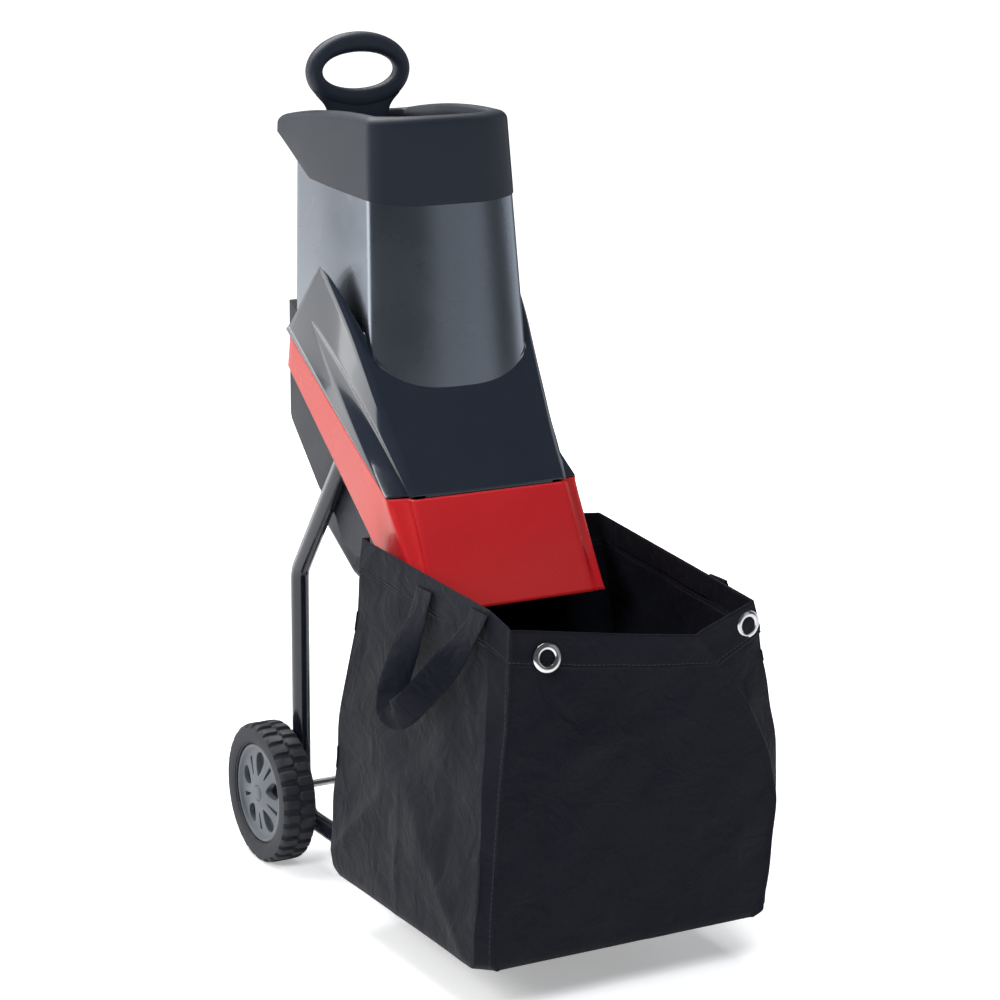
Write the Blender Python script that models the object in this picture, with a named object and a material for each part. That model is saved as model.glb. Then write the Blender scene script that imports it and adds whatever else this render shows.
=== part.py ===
# Electric garden shredder with a catch bag, modelled piece by piece.
# Units are metres, +Z up, the bag in front (-Y), +X to the right seen from the front.
# In the sizes below y counts from the wheel axle and z from the ground.

import bpy
import bmesh
from math import atan2, cos, hypot, pi, radians, sin, tan
from mathutils import Matrix, Vector

# General fits
gap = 0.0003                 # between two fixed pieces that touch
run_gap = 0.0010             # between a moving piece and its neighbour
wall = 0.0030                # moulded walls

# Wheels and axle
wheel_radius = 0.089
wheel_width = 0.044
rim_radius = 0.0635
axle_radius = 0.0050
hub_radius = 0.0140
cap_radius = 0.0100
lug_count = 24
lug_depth = 0.0030
spoke_pairs = 5

# Tube stand
tube_radius = 0.0115
tube_wall = 0.0015
leg_x = 0.1125
leg_to_wheel = 0.0095
knee_height = 0.372
leg_lean = 37.2              # upper leg, degrees off vertical
knee_bend_radius = 0.036
foot_bend_radius = 0.034
base_height = 0.054
base_joint_y = -0.120
base_front_y = -0.425
base_corner_radius = 0.034
foot_x = 0.053
foot_length = 0.046
foot_width = 0.034

# The deck is the tilted plane where hood and cover meet. It starts at the seam and climbs to the rear.
seam_y = -0.2665
seam_z = 0.5226
deck_tilt = 30.6
deck_length = 0.300
body_half_width = 0.128

# Hood: ridge line from the seam to the horn, as steps along and off the deck
ridge_half_low = body_half_width - 0.0283
ridge_half_high = body_half_width - 0.0010
ridge_start = (-0.0149, 0.0123)
ridge_end = (deck_length - 0.0545, 0.1376)
ridge_round = 0.0035
hollow_depth = 0.0120
hollow_stop = 0.030          # smooth side left between the hollow's end and the horn
hollow_reach = 1 - hollow_stop / deck_length
cap_corner = (0.1035, -0.174, 0.692)     # where the hood's top meets the hopper in front
cap_tail = (0.1035, -0.010, 0.679)       # and at the rear
cap_sink = 0.004
pocket_inner_x = 0.094       # lightening pocket in each side of the hood
pocket_outer_x = 0.1125

# Red chute cover
lip_half_width = 0.1225
lip_y = -0.3508
lip_z = 0.4029
strip_front = 0.0678         # depth of the side strip below the deck at the seam
strip_rear = 0.0330          # and at its rear end
cover_tail_y = -0.300
cover_tail_z = 0.4080
bead_radius = 0.0030         # rolled lower edge of the hood, its hinge

# Motor housing
housing_half_width = 0.1005
housing_rear_y = 0.0465
housing_knee_z = 0.560
housing_step_y = -0.033
housing_step_z = 0.484
belly_z = 0.420
ramp_low_y = -0.262
ramp_low_z = 0.425
pot_half_width = 0.072
pot_start = 0.082
pot_end = 0.222
pot_depth = 0.236
pot_corner = 0.018

# Cutting unit, centred on the rotor axis
rotor_along = 0.165
disc_radius = 0.090
disc_thickness = 0.006
disc_depth = 0.0160
chamber_radius = 0.0965
chamber_depth = 0.0340
shaft_radius = 0.006
knife_length = 0.062
knife_width = 0.026
knife_thickness = 0.003
knife_offset = 0.048
chip_slot = 0.010
stator_radius = 0.049
stator_bore = 0.0295
stator_top = 0.070
stator_length = 0.082
armature_radius = 0.0285
commutator_radius = 0.018
commutator_length = 0.018
fan_radius = 0.036
bearing_radius = 0.014
bearing_width = 0.009

# Hopper, collar and feed plate
hopper_half_low = 0.1063     # at hopper_low_z
hopper_half_high = 0.0925    # at hopper_high_z
hopper_low_z = 0.640
hopper_high_z = 0.960
hopper_corner_low = -0.1927
hopper_corner_high = -0.1590
hopper_rear_low = 0.0286
hopper_rear_high = 0.0466
hopper_bulge = 0.0195
hopper_skin = 0.0025
collar_top_front = 0.952
collar_top_rear = 0.931
collar_low_z = 0.849         # its lower edge, at the middle of the front
collar_dip = 0.006           # how much higher the edge is at the front corners
collar_rise = 0.06           # its slope along the sides
beak_rise = 0.38             # and under the beak
beak_start_y = -0.012
collar_proud = 0.0015
collar_overlap = 0.046
beak_y = 0.091
feed_along = 0.118
feed_half_width = 0.048
feed_half_length = 0.036
feed_lip = 0.012
feed_plate_up = 0.0012

# Plunger
plunger_x = -0.018
plunger_y = 0.018
ring_width = 0.139
ring_height = 0.094
ring_centre_z = 0.989
ring_thickness = 0.020
ring_depth = 0.022
stem_width = 0.072
stem_thickness = 0.016
paddle_width = 0.088

# Lock at the rear of the hopper
knob_radius = 0.014
knob_height = 0.014
lock_screw_radius = 0.004
lock_hole_radius = 0.0050
lock_reach = 0.0665          # from the axle plane to the knob
lug_half_width = 0.013
lug_thickness = 0.008
ear_half_width = 0.033
ear_screw_x = 0.025
lock_bite = 0.012
sleeve_radius = 0.008
sleeve_height = 0.003

# Switch plate and inlet on the rear wall
switch_drop = 0.0537         # switch below the housing's upper rear edge
switch_half_width = 0.036
switch_half_height = 0.020
switch_proud = 0.006
button_half = 0.0095
button_proud = 0.005
button_shift = 0.017
inlet_drop = 0.056           # inlet below the switch
inlet_radius = 0.023
inlet_proud = 0.026

# Catch bag
bag_half_width = 0.187
bag_rear_y = -0.232
bag_front_y = -0.607
bag_low_z = base_height + tube_radius + gap
bag_wall = 0.003
bag_belly_left = 0.182       # half widths where the filled cloth swells
bag_belly_right = 0.197
bag_dip_z = 0.412            # the rear rim dips under the chute
bag_dip_half = 0.128
bag_corner_left = (-0.138, -0.508, 0.454)
bag_front_left = (-0.096, -0.570, 0.431)
bag_front_right = (0.082, -0.602, 0.415)
bag_corner_right = (0.167, -0.592, 0.441)
bag_rear_left = (-0.156, -0.264, 0.478)
bag_rear_right = (0.158, -0.272, 0.474)
eyelet_radius = 0.0165
eyelet_hole = 0.0085
eyelet_drop = 0.026
strap_width = 0.030
strap_thickness = 0.003
strap_y = -0.450
strap_spread = 0.050
strap_drop = 0.130
strap_reach = 0.226

# Footprint centre: the frame's origin lies midway between the bag's front and the beak of the feed rim
axle_y = -(bag_front_y + beak_y + collar_proud) / 2

tilt = radians(deck_tilt)

# Hinge axis of the hopper unit: the centre of the bead along the hood's lower front edge
front_slope = atan2(ridge_end[1] - ridge_start[1], ridge_end[0] - ridge_start[0]) + tilt
hinge_y = seam_y + ridge_start[0] * cos(tilt) - ridge_start[1] * sin(tilt) + bead_radius * sin(front_slope)
hinge_z = seam_z + ridge_start[0] * sin(tilt) + ridge_start[1] * cos(tilt) - bead_radius * cos(front_slope)
bead_half_length = 0.085
cradle_x = 0.058
cradle_half = 0.010


def deck(x, along, up):
    """Point on the tilted deck: x across, along up the slope from the seam, up square off it."""
    y = seam_y + along * cos(tilt) - up * sin(tilt)
    z = seam_z + along * sin(tilt) + up * cos(tilt)
    return Vector((x, y, z))


def deck_coords(y, z):
    """The same point as steps along and off the deck."""
    dy = y - seam_y
    dz = z - seam_z
    return dy * cos(tilt) + dz * sin(tilt), dz * cos(tilt) - dy * sin(tilt)


def deck_height(y, up=0.0):
    """Height of the plane parallel to the deck, up above it, over the place y."""
    return seam_z + (y - seam_y) * tan(tilt) + up / cos(tilt)


def strip_low(along):
    """Depth of the side strip's lower edge below the deck."""
    return strip_front + (strip_rear - strip_front) * along / deck_length


def mix(a, b, t):
    return a + (b - a) * t


switch_z = deck_height(housing_rear_y) - switch_drop
inlet_z = switch_z - inlet_drop


# Scene and materials

for old in list(bpy.data.objects):
    bpy.data.objects.remove(old)

machine = bpy.data.objects.new("machine", None)
machine.location = (0, axle_y, 0)
bpy.context.scene.collection.objects.link(machine)


def material(name, colour, roughness, metallic=0.0):
    made = bpy.data.materials.new(name)
    made.use_nodes = True
    shader = made.node_tree.nodes["Principled BSDF"]
    shader.inputs["Base Color"].default_value = (*colour, 1)
    shader.inputs["Roughness"].default_value = roughness
    shader.inputs["Metallic"].default_value = metallic
    return made


hood_black = material("gloss_black", (0.012, 0.014, 0.020), 0.18)
cover_red = material("gloss_red", (0.52, 0.012, 0.018), 0.25)
housing_grey = material("charcoal_plastic", (0.045, 0.048, 0.056), 0.55)
collar_grey = material("matte_dark_plastic", (0.020, 0.023, 0.032), 0.60)
hopper_silver = material("satin_graphite", (0.16, 0.18, 0.21), 0.28, 0.9)
tube_black = material("powder_coat", (0.010, 0.011, 0.020), 0.30)
tyre_rubber = material("tyre_rubber", (0.016, 0.016, 0.022), 0.75)
rim_grey = material("rim_grey", (0.22, 0.24, 0.27), 0.45)
bag_cloth = material("bag_cloth", (0.010, 0.011, 0.016), 0.90)
bright_steel = material("bright_steel", (0.60, 0.60, 0.60), 0.25, 1.0)
blade_steel = material("blade_steel", (0.42, 0.43, 0.45), 0.30, 1.0)
lamination = material("lamination_steel", (0.20, 0.20, 0.21), 0.45, 0.9)
copper = material("copper", (0.60, 0.28, 0.14), 0.35, 1.0)
carbon = material("carbon", (0.03, 0.03, 0.03), 0.7)
black_rubber = material("black_rubber", (0.012, 0.012, 0.012), 0.85)
button_green = material("button_green", (0.02, 0.30, 0.06), 0.40)
button_red = material("button_red", (0.50, 0.02, 0.02), 0.40)
button_black = material("button_black", (0.02, 0.02, 0.02), 0.40)


# Modelling helpers

def add_object(name, bm, finish, origin=(0, 0, 0), cutter=False):
    """Turn a bmesh into an object under the machine, its origin at the given place."""
    bmesh.ops.remove_doubles(bm, verts=bm.verts, dist=1e-6)
    bmesh.ops.recalc_face_normals(bm, faces=bm.faces)
    bmesh.ops.translate(bm, verts=bm.verts, vec=-Vector(origin))
    mesh = bpy.data.meshes.new(name)
    bm.to_mesh(mesh)
    bm.free()
    mesh.shade_smooth()
    mesh.set_sharp_from_angle(angle=radians(32))
    thing = bpy.data.objects.new(name, mesh)
    thing.location = origin
    thing.parent = machine
    bpy.context.scene.collection.objects.link(thing)
    if finish:
        mesh.materials.append(finish)
    if cutter:
        thing.hide_render = True
        thing.display_type = "WIRE"
    return thing


def boolean(target, other, operation):
    step = target.modifiers.new(other.name, "BOOLEAN")
    step.operation = operation
    step.solver = "EXACT"
    step.object = other
    other.hide_render = True
    other.display_type = "WIRE"


def cut(target, *cutters):
    for cutter in cutters:
        boolean(target, cutter, "DIFFERENCE")


def fuse(target, *others):
    for other in others:
        boolean(target, other, "UNION")


def loft(rings, closed=True, capped=True):
    """Skin a list of equal point rings; with closed rings and caps this is a solid."""
    bm = bmesh.new()
    rows = [[bm.verts.new(p) for p in ring] for ring in rings]
    count = len(rings[0])
    last = count if closed else count - 1
    for low, high in zip(rows, rows[1:]):
        for i in range(last):
            j = (i + 1) % count
            bm.faces.new((low[i], low[j], high[j], high[i]))
    if capped:
        bm.faces.new(list(reversed(rows[0])))
        bm.faces.new(rows[-1])
    return bm


def shell(outer, inner):
    """A tube-like solid between two lists of closed rings, joined at both ends."""
    return loft_loop(outer + list(reversed(inner)))


def loft_loop(rings):
    """Skin rings round and back to the first one, like a tyre."""
    bm = bmesh.new()
    rows = [[bm.verts.new(p) for p in ring] for ring in rings]
    count = len(rings[0])
    for k, low in enumerate(rows):
        high = rows[(k + 1) % len(rows)]
        for i in range(count):
            j = (i + 1) % count
            bm.faces.new((low[i], low[j], high[j], high[i]))
    return bm


def prism(points, place, low, high):
    """Extrude a flat outline. place maps (a, b, offset) to a point."""
    return loft([[place(a, b, low) for a, b in points], [place(a, b, high) for a, b in points]])


def side_place(a, b, x):
    return Vector((x, a, b))


def deck_side_place(a, b, x):
    return deck(x, a, b)


def deck_top_place(a, b, up):
    """a across, b along the deck, offset square off it."""
    return deck(a, b, up)


def rear_place(a, b, y):
    """An outline on the rear wall: a across, b up."""
    return Vector((a, y, b))


def box_points(a0, a1, b0, b1):
    return [(a0, b0), (a1, b0), (a1, b1), (a0, b1)]


def circle_points(a, b, radius, steps, start=0.0):
    return [(a + radius * cos(start + 2 * pi * k / steps), b + radius * sin(start + 2 * pi * k / steps))
            for k in range(steps)]


def rounded(points, radius, steps=3):
    """Round the corners of an outline. radius is one value or one for each corner."""
    count = len(points)
    radii = radius if isinstance(radius, (list, tuple)) else [radius] * count
    out = []
    for i in range(count):
        here = Vector(points[i])
        before = Vector(points[i - 1]) - here
        after = Vector(points[(i + 1) % count]) - here
        half = before.angle(after) / 2
        back = min(radii[i] / tan(half), 0.45 * before.length, 0.45 * after.length) if radii[i] else 0.0
        if back < 1e-5:
            out.append((here.x, here.y))
            continue
        reach = back * tan(half)
        middle = here + (before.normalized() + after.normalized()).normalized() * (reach / sin(half))
        first = here + before.normalized() * back - middle
        second = here + after.normalized() * back - middle
        turn = first.angle_signed(second)
        for k in range(steps + 1):
            spoke = first.copy()
            spoke.rotate(Matrix.Rotation(-turn * k / steps, 2))
            out.append((middle.x + spoke.x, middle.y + spoke.y))
    return out


def revolve(profile, steps, place, closed=True):
    """Turn (radius, height) points round an axis. place maps (a, b, height) to a point."""
    rings = []
    for k in range(steps):
        turn = 2 * pi * k / steps
        rings.append([place(r * cos(turn), r * sin(turn), h) for r, h in profile])
    bm = bmesh.new()
    rows = [[bm.verts.new(p) for p in ring] for ring in rings]
    count = len(profile)
    last = count if closed else count - 1
    for k in range(steps):
        low = rows[k]
        high = rows[(k + 1) % steps]
        for i in range(last):
            j = (i + 1) % count
            if profile[i][0] < 1e-9 and profile[j][0] < 1e-9:
                continue
            bm.faces.new((low[i], low[j], high[j], high[i]))
    bmesh.ops.remove_doubles(bm, verts=bm.verts, dist=1e-7)
    return bm


def turned(radius, low, high, steps, place, bore=0.0, chamfer=0.0):
    """A plain turned disc or ring, its outer edges chamfered."""
    c = chamfer
    outer = [(radius - c, low), (radius, low + c), (radius, high - c), (radius - c, high)] if c else \
        [(radius, low), (radius, high)]
    profile = [(bore, low)] + outer + [(bore, high)]
    return revolve(profile, steps, place, closed=bore > 0)


def rotor_place(a, b, up):
    """Round pieces about the rotor axis."""
    return deck(a, rotor_along + b, up)


def axle_place(side):
    """Round pieces about the axle; their height runs outwards on one side."""
    def place(a, b, out):
        return Vector((side * out, a, wheel_radius + b))
    return place


def arc_path(points, radii, steps=4):
    """A polyline through points whose inner corners are rounded with the given radii."""
    path = [Vector(points[0])]
    for i in range(1, len(points) - 1):
        here = Vector(points[i])
        before = (Vector(points[i - 1]) - here).normalized()
        after = (Vector(points[i + 1]) - here).normalized()
        half = before.angle(after) / 2
        back = radii[i - 1] / tan(half)
        middle = here + (before + after).normalized() * (radii[i - 1] / sin(half))
        first = here + before * back - middle
        second = here + after * back - middle
        axis = first.cross(second).normalized()
        turn = first.angle(second)
        for k in range(steps + 1):
            path.append(middle + Matrix.Rotation(turn * k / steps, 3, axis) @ first)
    path.append(Vector(points[-1]))
    return path


def sweep_rings(path, radius, steps, side):
    """Circles square to a path; side is a steady sideways direction."""
    rings = []
    for i, here in enumerate(path):
        ahead = path[min(i + 1, len(path) - 1)] - here
        behind = here - path[max(i - 1, 0)]
        run = (ahead.normalized() if ahead.length else Vector()) + (behind.normalized() if behind.length else Vector())
        run.normalize()
        up = run.cross(side).normalized()
        across = up.cross(run).normalized()
        stretch = 1.0
        if ahead.length and behind.length:
            stretch = 1.0 / max(0.7, cos(ahead.angle(behind) / 2))
        rings.append([here + radius * (cos(2 * pi * k / steps) * up + sin(2 * pi * k / steps) * across)
                      for k in range(steps)])
    return rings


def hollow_tube(path, side, steps=12):
    outer = sweep_rings(path, tube_radius, steps, side)
    inner = sweep_rings(path, tube_radius - tube_wall, steps, side)
    return shell(outer, inner)


# Wheels, axle and tube stand

wheel_inner_x = leg_x + tube_radius + leg_to_wheel
wheel_outer_x = wheel_inner_x + wheel_width
nut_depth = 0.005
cap_depth = 0.003
axle_end_x = wheel_outer_x - cap_depth - 0.003


def make_tyre(name, side):
    """The section is a closed loop; the tread cells of each row stand proud in turn."""
    half = wheel_width / 2
    shoulder = wheel_radius - 0.006
    base = wheel_radius - lug_depth
    place = axle_place(side)
    middle = wheel_inner_x + half
    steps = lug_count * 2
    rings = []
    for k in range(steps):
        turn = 2 * pi * k / steps
        outer_row = wheel_radius if k % 2 else base
        inner_row = base if k % 2 else wheel_radius
        section = [
            (rim_radius + gap, -half + 0.006),
            (shoulder, -half),
            (inner_row, -half + 0.005),
            (inner_row, -0.0025),
            (base, 0.0),
            (outer_row, 0.0025),
            (outer_row, half - 0.005),
            (shoulder, half),
            (rim_radius + gap, half - 0.006),
        ]
        rings.append([place(r * cos(turn), r * sin(turn), middle + h) for r, h in section])
    return add_object(name, loft_loop(rings), tyre_rubber, (side * middle, 0, wheel_radius))


def make_rim(name, side):
    """Dished rim: a barrel, a face with five pairs of spokes and a bored hub."""
    place = axle_place(side)
    middle = wheel_inner_x + wheel_width / 2
    inner = wheel_inner_x
    face = wheel_outer_x - 0.004
    bore = axle_radius + gap / 3
    pocket = cap_radius + gap
    profile = [
        (bore, inner - leg_to_wheel + run_gap),
        (hub_radius, inner - leg_to_wheel + run_gap),
        (hub_radius, face - 0.008),
        (rim_radius - 0.009, face - 0.010),
        (rim_radius - 0.009, inner + 0.006),
        (rim_radius, inner + 0.006),
        (rim_radius, face - 0.002),
        (rim_radius - 0.003, face),
        (rim_radius - 0.010, face - 0.004),
        (0.022, face),
        (pocket, face + 0.001),
        (pocket, axle_end_x - nut_depth),
        (bore, axle_end_x - nut_depth),
    ]
    rim = add_object(name, revolve(profile, 25, place), rim_grey, (side * middle, 0, wheel_radius))
    step = 2 * pi / spoke_pairs
    for k in range(spoke_pairs):
        turn = step * k + radians(18)
        tears = []
        for t in range(8):
            a = 2 * pi * t / 8
            r = 0.0365 + 0.0130 * cos(a)
            w = 0.0105 * sin(a) * (0.70 + 0.30 * cos(a))
            tears.append((r * cos(turn) - w * sin(turn), r * sin(turn) + w * cos(turn)))
        hole = prism(tears, place, face - 0.014, face + 0.004)
        cut(rim, add_object(f"{name}_tear_{k}", hole, None, (side * middle, 0, wheel_radius), True))
        mid = turn + step / 2
        slot = []
        for r, w in ((0.026, -0.0012), (0.047, -0.0028), (0.049, 0), (0.047, 0.0028), (0.026, 0.0012)):
            slot.append((r * cos(mid) - w * sin(mid), r * sin(mid) + w * cos(mid)))
        hole = prism(slot, place, face - 0.014, face + 0.004)
        cut(rim, add_object(f"{name}_slot_{k}", hole, None, (side * middle, 0, wheel_radius), True))
    return rim


def make_wheel(word, side):
    middle = wheel_inner_x + wheel_width / 2
    place = axle_place(side)
    make_tyre(f"tyre_{word}", side)
    make_rim(f"rim_{word}", side)
    cap = [
        (0, axle_end_x + 0.0008),
        (cap_radius, axle_end_x + 0.0008),
        (cap_radius, wheel_outer_x - 0.003),
        (cap_radius * 0.6, wheel_outer_x - 0.0015),
        (0, wheel_outer_x - 0.001),
    ]
    add_object(f"hub_cap_{word}", revolve(cap, 16, place, False), rim_grey, (side * middle, 0, wheel_radius))
    nut = turned(cap_radius - 0.002, axle_end_x - nut_depth + gap, axle_end_x, 16, place,
                 axle_radius + gap / 3, 0.001)
    add_object(f"axle_nut_{word}", nut, bright_steel)


def make_stand():
    lean = radians(leg_lean)
    knee = Vector((0, 0, knee_height))
    # the upper end stops under the blade chamber's floor
    top_up = -chamber_depth - wall - 0.002
    start = deck_coords(0, knee_height)
    rise = sin(lean) * sin(tilt) + cos(lean) * cos(tilt)
    upper = (top_up - start[1]) / rise
    for word, side in (("left", -1), ("right", 1)):
        x = side * leg_x
        points = [
            (x, -sin(lean) * upper, knee_height + cos(lean) * upper),
            (x, knee.y, knee.z),
            (x, 0, base_height),
            (x, base_joint_y, base_height),
        ]
        path = arc_path(points, [knee_bend_radius, foot_bend_radius])
        leg = add_object(f"leg_tube_{word}", hollow_tube(path, Vector((1, 0, 0))), tube_black)
        place = axle_place(side)
        hole = turned(axle_radius + gap, leg_x - 0.02, leg_x + 0.02, 12, place)
        cut(leg, add_object(f"leg_axle_hole_{word}", hole, None, (0, 0, 0), True))
        make_leg_bolt(word, side, leg, upper, lean)
    spigot = tube_radius - tube_wall - gap
    inset = base_joint_y + 0.030
    side_points = [(-leg_x, inset, base_height), (-leg_x, base_front_y, base_height),
                   (leg_x, base_front_y, base_height), (leg_x, inset, base_height)]
    path = arc_path(side_points, [base_corner_radius] * 2, 5)
    shoulder = Vector((0, base_joint_y - gap - inset, 0))
    path = [path[0], path[0] + shoulder, path[0] + shoulder] + path[1:-1] + \
        [path[-1] + shoulder, path[-1] + shoulder, path[-1]]
    outer = sweep_rings(path, tube_radius, 12, Vector((0, 0, 1)))
    inner = sweep_rings(path, tube_radius - tube_wall - 0.0015, 12, Vector((0, 0, 1)))
    last = len(path) - 1
    for k in (0, 1, last - 1, last):
        outer[k] = [path[k] + (p - path[k]).normalized() * spigot for p in outer[k]]
    add_object("base_tube", shell(outer, inner), tube_black)
    for word, side in (("left", -1), ("right", 1)):
        make_foot(word, side)
    axle = turned(axle_radius, -axle_end_x, axle_end_x, 16, axle_place(1), 0, 0.001)
    add_object("axle_rod", axle, bright_steel)


def make_leg_bolt(word, side, leg, upper, lean):
    """A bolt from inside the housing into the tube that lies against its side."""
    reach = upper * 0.62
    y = -sin(lean) * reach
    z = knee_height + cos(lean) * reach

    def place(a, b, out):
        return Vector((side * out, y + a, z + b))
    inside = housing_half_width - wall - gap
    head = [(0, inside - 0.004), (0.006, inside - 0.004), (0.006, inside), (0.003, inside), (0.003, leg_x),
            (0, leg_x)]
    add_object(f"leg_bolt_{word}", revolve(head, 12, place, False), bright_steel)
    hole = turned(0.003 + gap, inside - 0.02, leg_x + 0.002, 12, place)
    cut(leg, add_object(f"leg_bolt_hole_{word}", hole, None, (0, 0, 0), True))


def make_foot(word, side):
    """A rubber block under the base tube, its top hollowed to the tube."""
    x = side * foot_x
    top = base_height - 0.002
    low = [(x - foot_length / 2, base_front_y - foot_width / 2),
           (x + foot_length / 2, base_front_y - foot_width / 2),
           (x + foot_length / 2, base_front_y + foot_width / 2),
           (x - foot_length / 2, base_front_y + foot_width / 2)]
    rings = []
    for z, grow in ((0.0, -0.002), (0.002, 0.0), (0.020, -0.003), (top, -0.005)):
        ring = [(x + (a - x) * (1 + grow * 2 / foot_length), base_front_y + (b - base_front_y) *
                 (1 + grow * 2 / foot_width)) for a, b in low]
        rings.append([Vector((a, b, z)) for a, b in rounded(ring, 0.006, 2)])
    foot = add_object(f"foot_{word}", loft(rings), black_rubber)
    path = [Vector((x - foot_length, base_front_y, base_height)),
            Vector((x + foot_length, base_front_y, base_height))]
    groove = loft(sweep_rings(path, tube_radius + gap, 12, Vector((0, 0, 1))))
    cut(foot, add_object(f"foot_groove_{word}", groove, None, (0, 0, 0), True))


for wheel_word, wheel_side in (("left", -1), ("right", 1)):
    make_wheel(wheel_word, wheel_side)
make_stand()


# Motor housing: a tray under the deck, a body with a rounded belly and a pot for the motor

ramp_high = deck(0, rotor_along - chamber_radius - wall - 0.003, -chamber_depth - wall - 0.001)


def tray_outline(inset):
    """Side outline in y and z. The front follows the discharge ramp."""
    rear = deck_length - 0.0165 - inset
    floor_rear = deck(0, rear, -strip_low(rear) + inset)
    ramp_run = (ramp_low_y - ramp_high.y) / (ramp_low_z - ramp_high.z)
    tip_y = -0.228 + inset * 1.2
    tip_z = ramp_high.z + (tip_y - ramp_high.y) / ramp_run
    along = deck_coords(tip_y, tip_z)[0]
    floor_front = deck(0, along, -strip_low(along) + inset)
    top_front = deck(0, deck_coords(ramp_high.y, ramp_high.z)[0] + inset, -gap if not inset else 0.02)
    top_rear = deck(0, rear, -gap if not inset else 0.02)
    return [(top_rear.y, top_rear.z), (floor_rear.y, floor_rear.z), (floor_front.y + 0.001, floor_front.z),
            (ramp_high.y + inset, ramp_high.z + inset), (top_front.y, top_front.z)]


def body_outline(inset):
    """Side outline of the narrower body below the tray."""
    i = inset
    top_z = deck_height(housing_rear_y - i, -2 * gap - i)
    front_top = deck(0, deck_coords(ramp_high.y, ramp_high.z)[0] + 0.004 + i, -2 * gap - i)
    corners = [
        (housing_rear_y - i, top_z),
        (housing_rear_y - i, housing_knee_z + i * 0.4),
        (housing_step_y, housing_step_z + i * 1.3),
        (-0.079, 0.458 + i),
        (-0.096, belly_z + 0.010 + i),
        (-0.128, belly_z + i),
        (-0.175, belly_z + 0.003 + i),
        (ramp_low_y + 0.008 + i, ramp_low_z - 0.006 + i),
        (ramp_low_y + i, ramp_low_z + i),
        (ramp_high.y + i, ramp_high.z),
        (front_top.y, front_top.z),
    ]
    radii = [0, 0.020, 0.006, 0.020, 0.015, 0.02, 0.02, 0.004, 0.002, 0, 0]
    return rounded(corners, radii, 3)


def pot_rings(inset):
    """The motor pot: a rounded box whose bottom is parallel to the deck."""
    i = inset
    outline = box_points(-pot_half_width + i, pot_half_width - i, pot_start + i, pot_end - i)
    rings = []
    for up, grow in ((-0.060, 0.0), (-pot_depth + pot_corner, 0.0), (-pot_depth + 0.006 + i, -0.006),
                     (-pot_depth + i, -pot_corner)):
        ring = [(a * (1 + grow / pot_half_width), (b - (pot_start + pot_end) / 2) *
                 (1 + grow * 2 / (pot_end - pot_start)) + (pot_start + pot_end) / 2) for a, b in outline]
        rings.append([deck(a, b, up) for a, b in rounded(ring, pot_corner, 3)])
    return rings


def make_housing():
    half = body_half_width - wall - 0.0004
    housing = add_object("motor_housing", prism(body_outline(0), side_place, -housing_half_width,
                                                housing_half_width),
                         housing_grey)
    tray = add_object("housing_tray", prism(tray_outline(0), side_place, -half, half), None, (0, 0, 0), True)
    pot = add_object("housing_pot", loft(pot_rings(0)), None, (0, 0, 0), True)
    fuse(housing, tray, pot)
    # lug that takes the lock screw
    lock = lock_axis()
    lug = box_points(-lug_half_width, lug_half_width, deck_coords(housing_rear_y - 0.002, deck_height(
        housing_rear_y))[0], lock[1] + lug_half_width)
    lug_solid = loft([[deck(a, b, up) for a, b in rounded(lug, [0, 0, 0.010, 0.010], 3)]
                      for up in (-0.026, -3 * gap)])
    fuse(housing, add_object("housing_lug", lug_solid, None, (0, 0, 0), True))
    # hollow inside
    inner = add_object("housing_hollow", prism(body_outline(wall), side_place, -housing_half_width + wall,
                                               housing_half_width - wall), None, (0, 0, 0), True)
    inner_tray = add_object("tray_hollow", prism(tray_outline(wall), side_place, -half + wall, half - wall),
                            None,
                            (0, 0, 0), True)
    inner_pot = add_object("pot_hollow", loft(pot_rings(wall)), None, (0, 0, 0), True)
    cut(housing, inner, inner_tray, inner_pot)
    # lock screw hole, leg sockets, bolt holes, vents
    hole = revolve([(0, -0.0295), (lock_hole_radius, -0.0295), (lock_hole_radius, 0.01), (0, 0.01)], 14,
                   lambda a, b, up: deck(a, lock[1] + b, up), False)
    cut(housing, add_object("lug_hole", hole, None, (0, 0, 0), True))
    lean = radians(leg_lean)
    for word, side in (("left", -1), ("right", 1)):
        foot = Vector((side * leg_x, 0, knee_height))
        run = Vector((0, -sin(lean), cos(lean)))
        low = foot + run * 0.16
        start = deck_coords(0, knee_height)
        rise = sin(lean) * sin(tilt) + cos(lean) * cos(tilt)
        high = foot + run * ((-chamber_depth - wall - 0.0008 - start[1]) / rise)
        across = Vector((side, 0, 0))
        thick = run.cross(across)
        reach = tube_radius + 2 * gap
        rings = []
        for end in (low, high):
            ring = []
            for k in range(9):
                turn = pi / 2 + pi * k / 8
                ring.append(end + across * (reach * cos(turn)) + thick * (reach * sin(turn)))
            ring.append(end + across * 0.03 - thick * reach)
            ring.append(end + across * 0.03 + thick * reach)
            rings.append(ring)
        cut(housing, add_object(f"leg_socket_{word}", loft(rings), None, (0, 0, 0), True))
        bolt = bpy.data.objects[f"leg_bolt_hole_{word}"]
        cut(housing, bolt)
    make_vents(housing)
    make_rear_recesses(housing)
    return housing


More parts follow.
